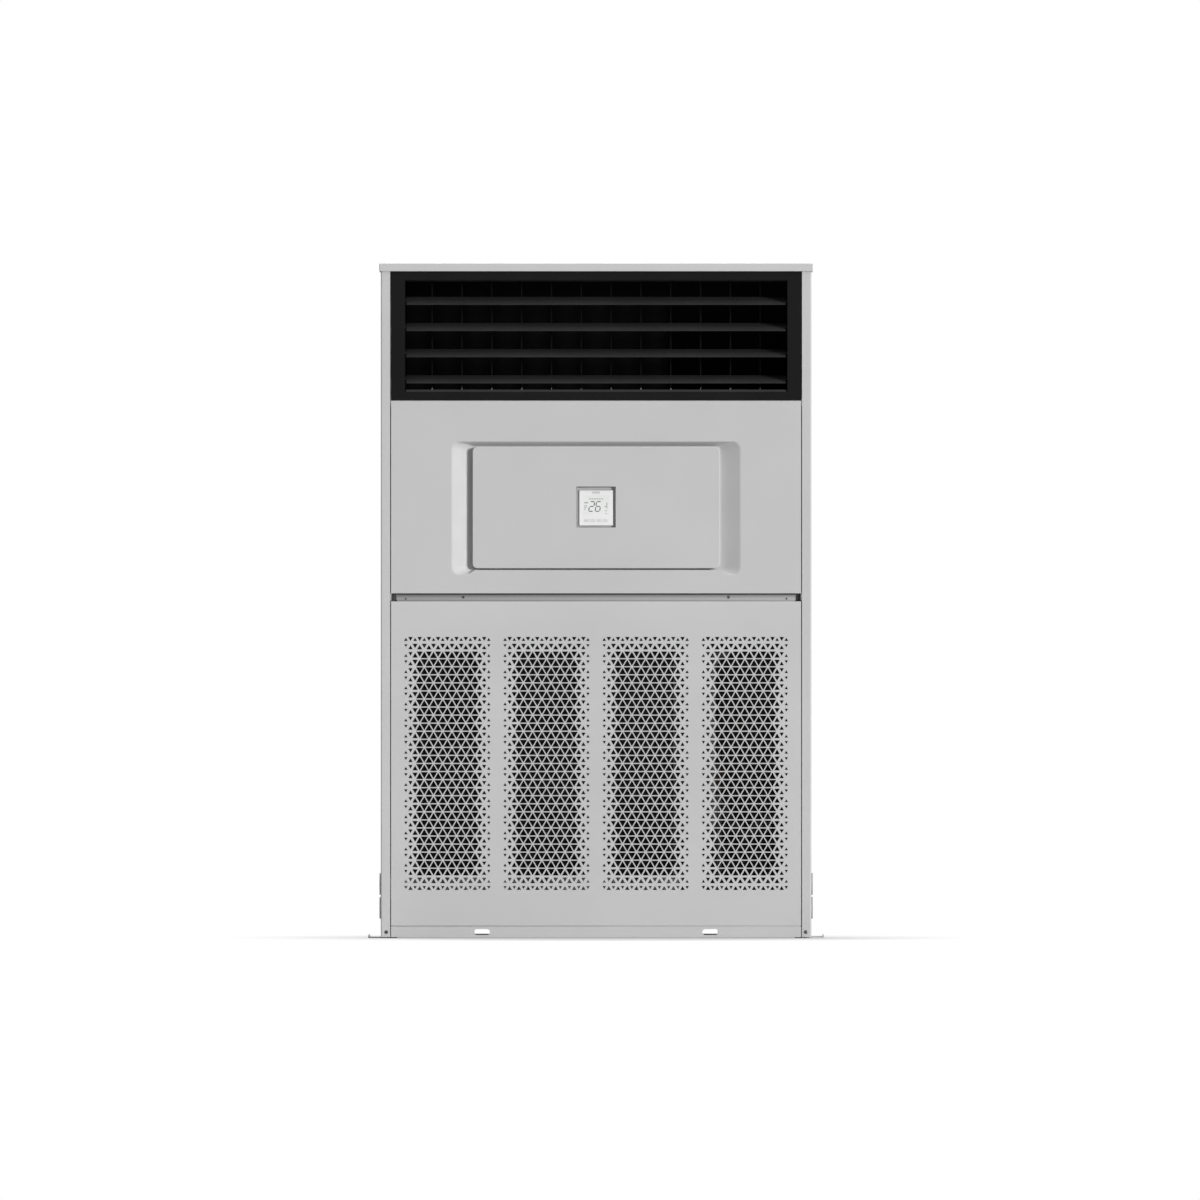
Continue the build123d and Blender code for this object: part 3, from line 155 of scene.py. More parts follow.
def pick_points(piece, test):
    """Select the points that pass the test."""
    mesh = bmesh.from_edit_mesh(piece.data)
    for point in mesh.verts:
        if test(point.co):
            point.select_set(True)
    mesh.select_flush_mode()
    bmesh.update_edit_mesh(piece.data)


def draw_out(move):
    """Extrude what is selected."""
    bpy.ops.mesh.extrude_region_move(TRANSFORM_OT_translate={"value": move})


def pull_edges(piece, test, move):
    """Extrude the edges that pass the test."""
    pick_none()
    pick_edges(piece, test)
    draw_out(move)


def push_points(piece, test, move):
    """Move the points that pass the test."""
    pick_none()
    pick_points(piece, test)
    bpy.ops.transform.translate(value=move)


def round_edges(piece, test, radius, segments=4):
    """Round the edges that pass the test."""
    pick_none()
    if pick_edges(piece, test):
        bpy.ops.mesh.bevel(offset=radius, offset_type="OFFSET", segments=segments, affect="EDGES")


def face_outward():
    """Turn every face's front to the outside."""
    pick_all()
    bpy.ops.mesh.normals_make_consistent(inside=False)


def face_front(panel):
    """Turn a sheet over if its flat front looks backwards."""
    if sum(f.normal.y * f.area for f in panel.data.polygons if near(f.center.y, FRONT)) > 0:
        shape(panel)
        pick_all()
        bpy.ops.mesh.flip_normals()
        done_shaping()


def open_middle(rim):
    """Inset the two selected faces by the rim and open a hole between them."""
    bpy.ops.mesh.inset(thickness=rim, depth=0)
    bpy.ops.mesh.bridge_edge_loops()


def apply_all(piece):
    """Apply the piece's modifiers in order."""
    bring_up(piece)
    for modifier in list(piece.modifiers):
        bpy.ops.object.modifier_apply(modifier=modifier.name)


def combine(piece, tools, operation="DIFFERENCE"):
    """Take the tools' shapes out of the piece, or add them to it."""
    for tool in tools:
        cut = piece.modifiers.new("cut", "BOOLEAN")
        cut.operation = operation
        cut.solver = "EXACT"
        cut.object = tool
    apply_all(piece)
    for tool in tools:
        bpy.data.objects.remove(tool)
    return piece


def cross_cutters(axis, reach, middle, arm, slim):
    """Two bars that cross at the middle of the other two axes and reach along this one."""
    cutters = []
    for spread in ((arm, slim), (slim, arm)):
        spans = [(m - s, m + s) for m, s in zip(middle, spread)]
        spans.insert(axis, reach)
        cutters.append(box_blank("cut", *zip(*spans)))
    return cutters


def row_of(piece, count, step):
    """A row of the piece, each a step on from the last."""
    row = piece.modifiers.new("row", "ARRAY")
    row.count = count
    row.use_relative_offset = False
    row.use_constant_offset = True
    row.constant_offset_displace = step
    apply_all(piece)
    return piece


def plate_blank(name, low, high, y):
    """Upright sheet that faces the front, between two corners given as (x, z)."""
    clear_bench()
    middle = ((low[0] + high[0]) / 2, y, (low[1] + high[1]) / 2)
    bpy.ops.mesh.primitive_plane_add(size=1, location=middle, rotation=UPRIGHT)
    piece = bpy.context.active_object
    piece.scale = (high[0] - low[0], high[1] - low[1], 1)
    return settle(piece, name)


def pipe_run(name, corners, radius, bend, sides):
    """Round pipe: a ring drawn out along each run and spun round each bend, then closed."""
    stops = [Vector(corner) for corner in corners]
    ahead = (stops[1] - stops[0]).normalized()
    turn = ahead.to_track_quat("Z", "Y").to_euler()
    clear_bench()
    bpy.ops.mesh.primitive_circle_add(vertices=sides, radius=radius, location=stops[0], rotation=turn)
    pipe = settle(bpy.context.active_object, name)
    shape(pipe, "EDGE")
    pick_all()
    here = stops[0]
    for corner, beyond in zip(stops[1:-1], stops[2:]):
        ahead = (corner - here).normalized()
        leave = (beyond - corner).normalized()
        turn = ahead.angle(leave)
        reach = bend * tan(turn / 2)
        draw_out(corner - ahead * reach - here)
        axis = ahead.cross(leave).normalized()
        middle = corner - ahead * reach + axis.cross(ahead) * bend
        bpy.ops.mesh.spin(steps=max(4, int(turn / radians(9))), angle=turn, center=middle, axis=axis)
        here = corner + leave * reach
    draw_out(stops[-1] - here)
    pick_all()
    bpy.ops.mesh.remove_doubles(threshold=1e-6)
    pick_none()
    bpy.ops.mesh.select_mode(type="EDGE")
    bpy.ops.mesh.select_non_manifold()
    bpy.ops.mesh.edge_face_add()
    face_outward()
    done_shaping()
    return pipe


def turned(name, axis, start, stations, sides=32):
    """Round piece drawn out along an axis; each station is (way from the start, radius)."""
    way, radius = stations[0]
    along = Vector([1.0 if letter == axis else 0.0 for letter in "XYZ"])
    here = Vector(start) + along * way
    clear_bench()
    bpy.ops.mesh.primitive_circle_add(
        vertices=sides, radius=radius, fill_type="NGON", location=here, rotation=TURNS[axis]
    )
    piece = settle(bpy.context.active_object, name)
    shape(piece)
    pick_all()
    for next_way, next_radius in stations[1:]:
        step = along * (next_way - way)
        draw_out(step)
        here = here + step
        share = next_radius / radius
        bpy.ops.transform.resize(
            value=[1.0 if letter == axis else share for letter in "XYZ"], center_override=here
        )
        way, radius = next_way, next_radius
    face_outward()
    done_shaping()
    return piece


def thicken(panel):
    """Give a sheet its thickness, inwards from its outer face."""
    wall = panel.modifiers.new("wall", "SOLIDIFY")
    wall.thickness = SHEET
    wall.offset = -1
    wall.use_even_offset = True
    apply_all(panel)


def soften(piece, width, segments=2, angle=35):
    """Round the sharp edges a little."""
    edge = piece.modifiers.new("edge", "BEVEL")
    edge.width = width
    edge.segments = segments
    edge.limit_method = "ANGLE"
    edge.angle_limit = radians(angle)
    edge.harden_normals = False
    apply_all(piece)
    return piece


def smooth(piece, angle=35):
    bring_up(piece)
    bpy.ops.object.shade_smooth_by_angle(angle=radians(angle))
    return piece


def merge(pieces):
    """Join pieces into the first of them."""
    clear_bench()
    for piece in pieces:
        piece.select_set(True)
    bpy.context.view_layer.objects.active = pieces[0]
    bpy.ops.object.join()
    return pieces[0]


def fit(piece, finish, body, slot, *stands_for):
    """Give a piece its finish, the body it moves with and the node it stands for. The slot is not used."""
    piece.data.materials.clear()
    piece.data.materials.append(FINISHES[finish])
    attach(piece, body)
    if stands_for:
        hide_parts(*stands_for)


def strip(name, low, high, finish, slot, radius=0.0005):
    """Strip or sheet on the cabinet between two corners, with rounded edges."""
    fit(smooth(soften(box_blank(name, low, high), radius)), finish, "cabinet", slot)


# ---- finishes
FINISHES = {}
FINE_GRAIN = (1, 1, 0.05)  # drawn grain along Z


def tone(red, green=None, blue=None):
    """Colour for levels of 0 to 255; one level alone is a grey."""
    colour = []
    for level in (red, red if green is None else green, red if blue is None else blue):
        share = level / 255
        colour.append(share / 12.92 if share <= 0.04045 else ((share + 0.055) / 1.055) ** 2.4)
    return (*colour, 1)


def dial(node, **values):
    """Set a node's inputs; an underscore stands for a space in their names."""
    for name, value in values.items():
        node.inputs[name.replace("_", " ")].default_value = value
    return node


class Finish:
    """A material being mixed: its shader, and patterns laid on object coordinates."""

    def __init__(self, name, colour, roughness, metallic=0.0, sheen=0.5):
        material = FINISHES[name] = bpy.data.materials.new(name)
        material.use_nodes = True
        self.tree = material.node_tree
        self.shader = self.tree.nodes["Principled BSDF"]
        dial(self.shader, Base_Color=colour, Roughness=roughness, Metallic=metallic)
        dial(self.shader, Specular_IOR_Level=sheen)
        self.place = self.add("ShaderNodeTexCoord").outputs["Object"]

    def add(self, kind, **values):
        return dial(self.tree.nodes.new(kind), **values)

    def link(self, start, end):
        self.tree.links.new(start, end)

    def noise(self, scale, detail=3.0, rough=0.55, stretch=None):
        noise = self.add("ShaderNodeTexNoise", Scale=scale, Detail=detail, Roughness=rough)
        place = self.place
        if stretch:
            mapping = self.add("ShaderNodeMapping", Scale=stretch)
            self.link(place, mapping.inputs["Vector"])
            place = mapping.outputs["Vector"]
        self.link(place, noise.inputs["Vector"])
        return noise.outputs["Fac"]

    def cells(self, scale):
        cells = self.add("ShaderNodeTexVoronoi", Scale=scale)
        self.link(self.place, cells.inputs["Vector"])
        return cells.outputs["Distance"]

    def colour_from(self, source, dark, light, low=0.3, high=0.7):
        ramp = self.add("ShaderNodeValToRGB")
        for stop, position, colour in zip(ramp.color_ramp.elements, (low, high), (dark, light)):
            stop.position = position
            stop.color = colour
        self.link(source, ramp.inputs["Fac"])
        self.link(ramp.outputs["Color"], self.shader.inputs["Base Color"])
        return ramp.color_ramp

    def roughness_from(self, source, low, high):
        spread = self.add("ShaderNodeMapRange", From_Min=0.3, From_Max=0.7, To_Min=low, To_Max=high)
        self.link(source, spread.inputs["Value"])
        self.link(spread.outputs["Result"], self.shader.inputs["Roughness"])

    def bump(self, source, strength, distance):
        bump = self.add("ShaderNodeBump", Strength=strength, Distance=distance)
        self.link(source, bump.inputs["Height"])
        self.link(bump.outputs["Normal"], self.shader.inputs["Normal"])


def powder_coat(name, level):
    """Baked powder on sheet steel: a faint cloudiness over a fine grain."""
    coat = Finish(name, tone(level), 0.55)
    coat.colour_from(coat.noise(3.0, 2.0), tone(level - 2), tone(level + 2), 0.35, 0.65)
    coat.roughness_from(coat.noise(40.0), 0.51, 0.6)
    coat.bump(coat.noise(900.0, 2.0), 0.12, 0.0003)


def moulded(name, level, spread=3, roughness=0.5, grain=1400.0, sheen=0.5):
    """Moulded plastic with a spark eroded grain."""
    plastic = Finish(name, tone(level), roughness, 0.0, sheen)
    clouds = plastic.noise(6.0, 2.0)
    plastic.colour_from(clouds, tone(level - spread), tone(level + spread), 0.35, 0.65)
    plastic.roughness_from(plastic.noise(70.0), roughness - 0.05, roughness + 0.06)
    plastic.bump(plastic.cells(grain), 0.16, 0.0002)


def shaded_channel_coat(name):
    """The flange's powder coat with painted shade: darker towards its upper edge under the middle panel's
    overhang, and darker just at its foot by the fold.
    """
    coat = Finish(name, tone(168), 0.6)
    height = coat.add("ShaderNodeSeparateXYZ")
    coat.link(coat.place, height.inputs["Vector"])
    # painted shade: 108 at the upper edge, 178 just above the foot, 150 at the foot
    shades = coat.colour_from(height.outputs["Z"], tone(150), tone(108), FLANGE_LOW, FLANGE_HIGH)
    shades.elements.new(FLANGE_LOW + 0.0045).color = tone(178)
    coat.roughness_from(coat.noise(40.0), 0.56, 0.65)
    coat.bump(coat.noise(900.0, 2.0), 0.12, 0.0003)


def zinc_sheet(name, level):
    """Galvanised sheet: large crystals and a fine drawn grain."""
    zinc = Finish(name, tone(level), 0.42, 0.85)
    dark = tone(level - 16, level - 14, level - 12)
    zinc.colour_from(zinc.cells(95.0), dark, tone(level + 12), 0.0, 0.9)
    zinc.roughness_from(zinc.noise(150.0, 4.0), 0.33, 0.5)
    zinc.bump(zinc.noise(500.0, 3.0, 0.6, FINE_GRAIN), 0.06, 0.0002)


def bare_metal(name, colour, dark, roughness, grain=FINE_GRAIN):
    """Drawn or machined metal with a directional grain and light tarnish."""
    metal = Finish(name, colour, roughness, 1.0)
    metal.colour_from(metal.noise(30.0, 4.0), dark, colour)
    metal.roughness_from(metal.noise(220.0, 3.0, 0.6, grain), roughness - 0.06, roughness + 0.1)
    metal.bump(metal.noise(1500.0, 2.0, 0.5, grain), 0.05, 0.0001)


def cast_paint(name, level):
    """Painted casting: orange peel over a rough skin."""
    cast = Finish(name, tone(level), 0.5)
    cast.colour_from(cast.noise(18.0, 4.0), tone(level - 8), tone(level + 6))
    cast.bump(cast.noise(260.0, 4.0), 0.3, 0.0004)


def soft_rubber(name, level):
    rubber = Finish(name, tone(level), 0.75)
    rubber.colour_from(rubber.noise(60.0, 4.0), tone(level - 5), tone(level + 6))
    rubber.bump(rubber.noise(800.0), 0.2, 0.0003)


def shaded_fins(name):
    """Thin fins in a dark tone that is painted shade for the inside of the cabinet seen through the intake,
    mottled and partly metallic.
    """
    fins = Finish(name, tone(44, 46, 50), 0.5, 0.3)
    fins.colour_from(fins.noise(35.0, 4.0), tone(38, 40, 44), tone(54, 56, 60))
    fins.roughness_from(fins.noise(160.0), 0.42, 0.62)
    fins.bump(fins.noise(700.0, 3.0, 0.6, (1, 1, 0.1)), 0.08, 0.0002)


def lining_foam(name):
    """Closed cell foam glued inside the cabinet against noise and sweat."""
    foam = Finish(name, tone(34), 0.95, 0.0, 0.1)
    foam.colour_from(foam.cells(420.0), tone(28), tone(42), 0.0, 0.8)
    foam.bump(foam.cells(420.0), 0.5, 0.0006)


def board_finish(name):
    """Green solder mask with copper paths that show through as a lighter green."""
    board = Finish(name, tone(24, 92, 52), 0.35)
    paths = board.add(
        "ShaderNodeTexBrick",
        Scale=90.0,
        Mortar_Size=0.05,
        Color1=tone(20, 84, 48),
        Color2=tone(24, 94, 54),
        Mortar=tone(58, 128, 78),
    )
    board.link(board.place, paths.inputs["Vector"])
    board.link(paths.outputs["Color"], board.shader.inputs["Base Color"])
    board.bump(paths.outputs["Fac"], 0.1, 0.0001)


def display_finish(name):
    """Reflective grey liquid crystal cell under a thin window."""
    glass = Finish(name, tone(237, 238, 237), 0.18)
    glass.colour_from(glass.noise(24.0, 2.0), tone(234, 236, 234), tone(240, 241, 240))
    glass.roughness_from(glass.noise(120.0), 0.14, 0.24)
    glass.bump(glass.noise(300.0, 2.0), 0.02, 0.0001)


powder_coat("panel_paint", 196)
powder_coat("cover_paint", 197)
powder_coat("base_paint", 195)
moulded("bezel_black", 19, 2, 0.6, sheen=0.08)
moulded("blade_black", 50, 2, 0.55, sheen=0.1)
moulded("vane_grey", 11, 2, 0.6, sheen=0.08)
moulded("link_plastic", 40, 2, sheen=0.2)
moulded("controller_white", 240, 2, 0.4)
moulded("key_grey", 226)
moulded("window_grey", 204)
moulded("frame_grey", 176)
display_finish("display")
zinc_sheet("galvanised", 176)
zinc_sheet("wheel_steel", 168)
bare_metal("shaft_steel", tone(170), tone(140), 0.28, (0.05, 1, 1))
cast_paint("motor_cast", 88)
# painted shade: the coil is kept dark for the inside of the cabinet
shaded_fins("coil_aluminium")
bare_metal("copper", tone(104, 92, 84), tone(78, 70, 66), 0.5)
powder_coat("tray_paint", 190)
moulded("filter_black", 20, 2, 0.7, sheen=0.15)
lining_foam("foam_black")
# painted light: pale grey for the lit lower tips of the dark vanes
moulded("vane_tip_light", 204)
moulded("display_ink", 92, grain=2200.0, sheen=0.2)
board_finish("board_green")
moulded("terminal_plastic", 44)
zinc_sheet("step_motor", 186)
soft_rubber("rubber", 150)
soft_rubber("pipe_sleeve", 132)
soft_rubber("seal_black", 52)
shaded_channel_coat("channel_shaded_paint")
moulded("lip_black", 44, 2, sheen=0.15)
bare_metal("dark_zinc", tone(96), tone(66), 0.4, (1, 1, 1))
bare_metal("screw_zinc", tone(188), tone(150), 0.35, (1, 1, 1))

for entry in frame["record"]["subparts"]:
    node = frame["nodes"][entry["node"]]
    node.data.materials.clear()
    node.data.materials.append(FINISHES[entry["material_slot"]])


# ---- perforated intake panel
CELL = 0.02545  # side of a lattice triangle
ROW = 0.02227
ROWS = 32
FIELD_TOP = 0.8392
FIELD_BOTTOM = FIELD_TOP - ROWS * ROW
FIELD_MIDDLE = FIELD_TOP - ROWS * ROW / 2
FIELD_PITCH = 0.274
FIELDS_HALF = 2 * FIELD_PITCH
INTAKE_LOW, INTAKE_HIGH = 0.035, 0.931
ACROSS = 12  # lattice sides drawn over one field's pitch
LAST_CELL = 18
LAST_ROW_RIB = 0.0037
LAST_ROW_DRAWN_IN = 0.9914  # the last rows' holes sit 3 mm nearer the field's middle


def hole_inset(row, cell):
    """Rib left round a hole, wide round the outermost ones; none past the field."""
    rim = min(row, ROWS - 1 - row)
    end = min(cell, LAST_CELL - cell)
    if end < 0:
        return None
    if rim == 0:
        return LAST_ROW_RIB if cell % 2 else 0.0045
    if end < 2:
        return (0.0047, 0.0039)[end]
    if rim == 1:
        return 0.0033
    if end == 2:
        return 0.0030
    return 0.0024 if rim == 2 and cell % 2 else 0.0015


def perforated_field(place):
    """One column: a lattice sheet whose triangles are inset and opened."""
    clear_bench()
    bpy.ops.mesh.primitive_grid_add(x_subdivisions=ACROSS, y_subdivisions=ROWS, size=1, rotation=UPRIGHT)
    field = bpy.context.active_object
    field.scale = (ACROSS * CELL, ROWS * ROW, 1)
    field.location = (place, FRONT, FIELD_MIDDLE)
    settle(field, "intake_front")
    shape(field, "VERT")
    # rows counted from the top; every second line of points is moved half a side
    pick_points(field, lambda p: round((FIELD_TOP - p.z) / ROW) % 2 == 0)
    bpy.ops.transform.translate(value=(CELL / 2, 0, 0))
    pick_all()
    bpy.ops.mesh.quads_convert_to_tris(quad_method="SHORTEST_DIAGONAL")
    bpy.ops.mesh.select_mode(type="FACE")

    def spot(middle):
        return round(middle.x, 5), round(middle.z, 5)

    holes = {}
    mesh = bmesh.from_edit_mesh(field.data)
    for face in mesh.faces:
        middle = face.calc_center_median()
        row = int((FIELD_TOP - middle.z) / ROW)
        cell = round((middle.x - place) / (CELL / 2)) + LAST_CELL // 2
        holes.setdefault(hole_inset(row, cell), set()).add(spot(middle))
    holes.pop(None)
    for inset, spots in holes.items():
        pick_none()
        pick_faces(field, lambda m, n: spot(m) in spots)
        bpy.ops.mesh.inset(thickness=inset, depth=0, use_individual=True)
        if inset == LAST_ROW_RIB:
            middle = (place, FRONT, FIELD_MIDDLE)
            bpy.ops.transform.resize(value=(1, 1, LAST_ROW_DRAWN_IN), center_override=middle)
        bpy.ops.mesh.delete(type="FACE")
    for side in (-1, 1):
        pick_all()
        bpy.ops.mesh.bisect(
            plane_co=(place + side * FIELD_PITCH / 2, 0, 0),
            plane_no=(side, 0, 0),
            clear_outer=True,
            threshold=1e-6,
        )
    done_shaping()
    return field


def intake_front():
    """The whole perforated panel as one folded sheet."""
    panel = merge([perforated_field((number - 1.5) * FIELD_PITCH) for number in range(4)])
    shape(panel, "VERT")
    pick_all()
    bpy.ops.mesh.remove_doubles(threshold=1e-5)
    bpy.ops.mesh.select_mode(type="EDGE")
    for side in (-1, 1):
        pull_edges(panel, on_line(0, side * FIELDS_HALF), (side * (PANEL_HALF - FIELDS_HALF), 0, 0))
    for line, edge in ((FIELD_TOP, INTAKE_HIGH), (FIELD_BOTTOM, INTAKE_LOW)):
        pull_edges(panel, on_line(2, line), (0, 0, edge - line))
    # folded edges: sides and bottom, then the top back to its screw flange
    for axis, place, depth in (
        (0, -PANEL_HALF, 0.018),
        (0, PANEL_HALF, 0.018),
        (2, INTAKE_LOW, 0.018),
        (2, INTAKE_HIGH, 0.0135),
    ):
        edge = on_line(axis, place)
        pull_edges(panel, lambda a, b: edge(a, b) and a.y < FRONT + CLOSE, (0, depth, 0))
    face_outward()
    top, front = on_line(2, INTAKE_HIGH), on_line(1, FRONT)
    round_edges(panel, lambda a, b: top(a, b) and front(a, b), 0.0045)
    done_shaping()
    face_front(panel)
    thicken(panel)
    return panel


# the flange stands in the channel between the front panels and takes the two screws
flange_low = (-FLANGE_HALF, FLANGE_FRONT, INTAKE_HIGH - SHEET)
flange = box_blank("intake_flange", flange_low, (FLANGE_HALF, FLANGE_BACK, FLANGE_HIGH))
fit(smooth(soften(flange, 0.0004)), "channel_shaded_paint", "intake_panel", "panel_paint", "intake_panel")
fit(smooth(intake_front(), 30), "panel_paint", "intake_panel", "panel_paint", "intake_panel")


# ---- middle panel, pressed with its recess
MIDDLE_LOW, MIDDLE_HIGH = 0.953, 1.485
RECESS_HALF = 0.3985
RECESS_LOW, RECESS_HIGH = 1.0045, 1.372
RECESS_DEPTH = 0.022
RECESS_CORNER = 0.022
RECESS_SLOPE = 0.010
FLOOR_HALF = 0.3435
FLOOR_LOW, FLOOR_HIGH = 1.020, 1.3597
SILL_HALF, SILL_TOP, SILL_SPREAD = 0.335, 1.0172, 0.027


def middle_front():
    """Front panel of the middle: a rounded recess drawn into a sheet, then the folded edges."""
    panel = plate_blank("middle_front", (-RECESS_HALF, RECESS_LOW), (RECESS_HALF, RECESS_HIGH), FRONT)
    shape(panel, "VERT")
    pick_all()
    bpy.ops.mesh.bevel(offset=RECESS_CORNER, segments=8, affect="VERTICES")
    bpy.ops.mesh.select_mode(type="FACE")
    pick_all()
    bpy.ops.mesh.inset(thickness=RECESS_SLOPE, depth=0)
    middle_z = (RECESS_LOW + RECESS_HIGH) / 2
    wide = FLOOR_HALF / (RECESS_HALF - RECESS_SLOPE)
    tall = (FLOOR_HIGH - FLOOR_LOW) / (RECESS_HIGH - RECESS_LOW - 2 * RECESS_SLOPE)
    bpy.ops.transform.resize(value=(wide, 1, tall), center_override=(0, FRONT, middle_z))
    bpy.ops.transform.translate(value=(0, RECESS_DEPTH, (FLOOR_LOW + FLOOR_HIGH) / 2 - middle_z))
    # the flat sheet round the recess is filled between the recess and the panel's outline
    pick_none()
    middle = (0, FRONT, (MIDDLE_LOW + MIDDLE_HIGH) / 2)
    bpy.ops.mesh.primitive_plane_add(size=1, location=middle, rotation=UPRIGHT)
    bpy.ops.transform.resize(value=(2 * PANEL_HALF, 1, MIDDLE_HIGH - MIDDLE_LOW), center_override=middle)
    bpy.ops.mesh.delete(type="ONLY_FACE")
    bpy.ops.mesh.select_mode(type="EDGE")
    pick_none()
    front = on_line(1, FRONT)
    pick_edges(panel, front)
    bpy.ops.mesh.fill(use_beauty=True)
    face_outward()

    def on_mouth(point):
        level = RECESS_LOW - 1e-3 < point.z < RECESS_HIGH + 1e-3
        return level and abs(point.x) < RECESS_HALF + 1e-3 and near(point.y, FRONT)

    mesh = bmesh.from_edit_mesh(panel.data)
    pick_none()
    for edge in mesh.edges:
        if len(edge.link_faces) == 2 and all(on_mouth(v.co) for v in edge.verts):
            depths = [f.calc_center_median().y for f in edge.link_faces]
            if max(depths) > FRONT + CLOSE and min(depths) < FRONT + CLOSE:
                edge.select_set(True)
    bmesh.update_edit_mesh(panel.data)
    bpy.ops.mesh.bevel(offset=0.0035, segments=4, affect="EDGES")
    floor_y = FRONT + RECESS_DEPTH - CLOSE
    round_edges(panel, lambda a, b: a.y > floor_y and b.y > floor_y, 0.003, 3)
    # folded edges
    for axis, place, depth in (
        (0, -PANEL_HALF, 0.012),
        (0, PANEL_HALF, 0.012),
        (2, MIDDLE_LOW, 0.008),
        (2, MIDDLE_HIGH, 0.0132),
    ):
        edge = on_line(axis, place)
        pull_edges(panel, lambda a, b: edge(a, b) and front(a, b), (0, depth, 0))
    face_outward()
    done_shaping()
    face_front(panel)
    thicken(panel)
    # sill that closes the recess under the control cover, wider at its foot
    sill_low = RECESS_LOW - 0.005
    sill = box_blank("sill", (-SILL_HALF, FRONT, sill_low), (SILL_HALF, FRONT + RECESS_DEPTH, SILL_TOP))
    shape(sill, "VERT")
    for way in (-1, 1):
        foot = way * SILL_HALF
        push_points(sill, lambda p: near(p.x, foot) and p.z < RECESS_LOW, (way * SILL_SPREAD, 0, 0))
    done_shaping()
    smooth(combine(panel, [sill], "UNION"), 28)
    shade = panel.modifiers.new("shade", "WEIGHTED_NORMAL")
    shade.keep_sharp = True
    shade.weight = 100
    apply_all(panel)
    return panel


fit(middle_front(), "panel_paint", "cabinet", "panel_paint", "middle_panel")


# ---- marks on the wired controller
SCREEN_FRONT = -0.1935
SCREEN_MIDDLE = 1.193
INK = 0.00015  # how far a printed mark stands out
DIGIT_WIDTH, DIGIT_HEIGHT, STROKE = 0.0125, 0.027, 0.0026
DIGIT_LEAN = 0.17
SEGMENTS = {
    "top": ((0, 1), (1, 1)),
    "upper left": ((0, 0.5), (0, 1)),
    "upper right": ((1, 0.5), (1, 1)),
    "middle": ((0, 0.5), (1, 0.5)),
    "lower left": ((0, 0), (0, 0.5)),
    "lower right": ((1, 0), (1, 0.5)),
    "bottom": ((0, 0), (1, 0)),
}
LIT = {
    "2": ("top", "upper right", "middle", "lower left", "bottom"),
    "6": ("top", "upper left", "middle", "lower left", "lower right", "bottom"),
}
MODE_MARKS, MODE_LEFT, MODE_PITCH, MODE_WIDTH = 6, -0.019, 0.0067, 0.0048
FAN_MARKS = [((-0.033, 1.2022), (-0.0215, 1.2040))] + [
    ((-0.033, 1.1840 + step * 0.005), (-0.029 + step * 0.002, 1.1855 + step * 0.005)) for step in range(3)
]
TIMER_MARKS = [
    ((0.0290, 1.1870), (0.0304, 1.2040)),
    ((0.0238, 1.1915), (0.0268, 1.1945)),
    ((0.0240, 1.1800), (0.0262, 1.1822)),
    ((0.0282, 1.1800), (0.0304, 1.1822)),
    ((0.0260, 1.1725), (0.0300, 1.1738)),
]


def mark(low, high, lean=0.0):
    """Printed bar between two corners given as (x, z), with cut corners and a lean to the right."""
    bar = box_blank("bar", (low[0], SCREEN_FRONT - INK, low[1]), (high[0], SCREEN_FRONT + INK, high[1]))
    shape(bar, "EDGE")
    round_edges(bar, runs_deep, 0.35 * min(high[0] - low[0], high[1] - low[1]), 1)
    if lean:
        bpy.ops.mesh.select_mode(type="VERT")
        mesh = bmesh.from_edit_mesh(bar.data)
        for height in sorted({round(v.co.z, 6) for v in mesh.verts}):
            push_points(bar, lambda p: near(p.z, height, 2e-6), (lean * (height - SCREEN_MIDDLE), 0, 0))
    done_shaping()
    return bar


def digit(figure, left):
    """Seven bar figure that leans to the right."""
    bars = []
    for part in LIT[figure]:
        (x0, z0), (x1, z1) = SEGMENTS[part]
        low = (left + x0 * DIGIT_WIDTH, SCREEN_MIDDLE + (z0 - 0.5) * DIGIT_HEIGHT)
        high = (left + x1 * DIGIT_WIDTH, SCREEN_MIDDLE + (z1 - 0.5) * DIGIT_HEIGHT)
        # bars are a stroke thick and stop half a stroke short of each corner
        slim = STROKE / 2 if x0 == x1 else -STROKE / 2
        bars.append(mark((low[0] - slim, low[1] + slim), (high[0] + slim, high[1] - slim), DIGIT_LEAN))
    return bars


def screen_marks():
    """Set temperature, a row of mode marks over it, and the fan and timer marks beside it."""
    marks = digit("2", -0.0185) + digit("6", -0.0005)
    for number in range(MODE_MARKS):
        left = MODE_LEFT + number * MODE_PITCH
        marks.append(mark((left, 1.2130), (left + MODE_WIDTH, 1.2148)))
    ink = merge(marks + [mark(*corners) for corners in FAN_MARKS + TIMER_MARKS])
    ink.name = "display_marks"
    return ink


def controller_frame():
    """Plastic frame that fills the window round the controller and stops short of its face."""
    rim = box_blank("controller_frame", (-0.0535, -0.188, 1.1355), (0.0535, -0.1781, 1.2475))
    shape(rim)
    pick_faces(rim, lambda m, n: abs(n.y) > FACING)
    open_middle(0.0055)
    pick_none()
    bpy.ops.mesh.select_mode(type="VERT")
    push_points(rim, lambda p: 1.137 < p.z < 1.18 and abs(p.x) < 0.05, (0, 0, -0.0012))
    push_points(rim, lambda p: 1.2 < p.z < 1.246 and abs(p.x) < 0.05, (0, 0, -0.0037))
    push_points(rim, lambda p: -0.05 < p.x < -0.045, (0.0004, 0, 0))
    push_points(rim, lambda p: 0.045 < p.x < 0.05, (-0.0004, 0, 0))
    face_outward()
    done_shaping()
    return smooth(soften(rim, 0.0008))


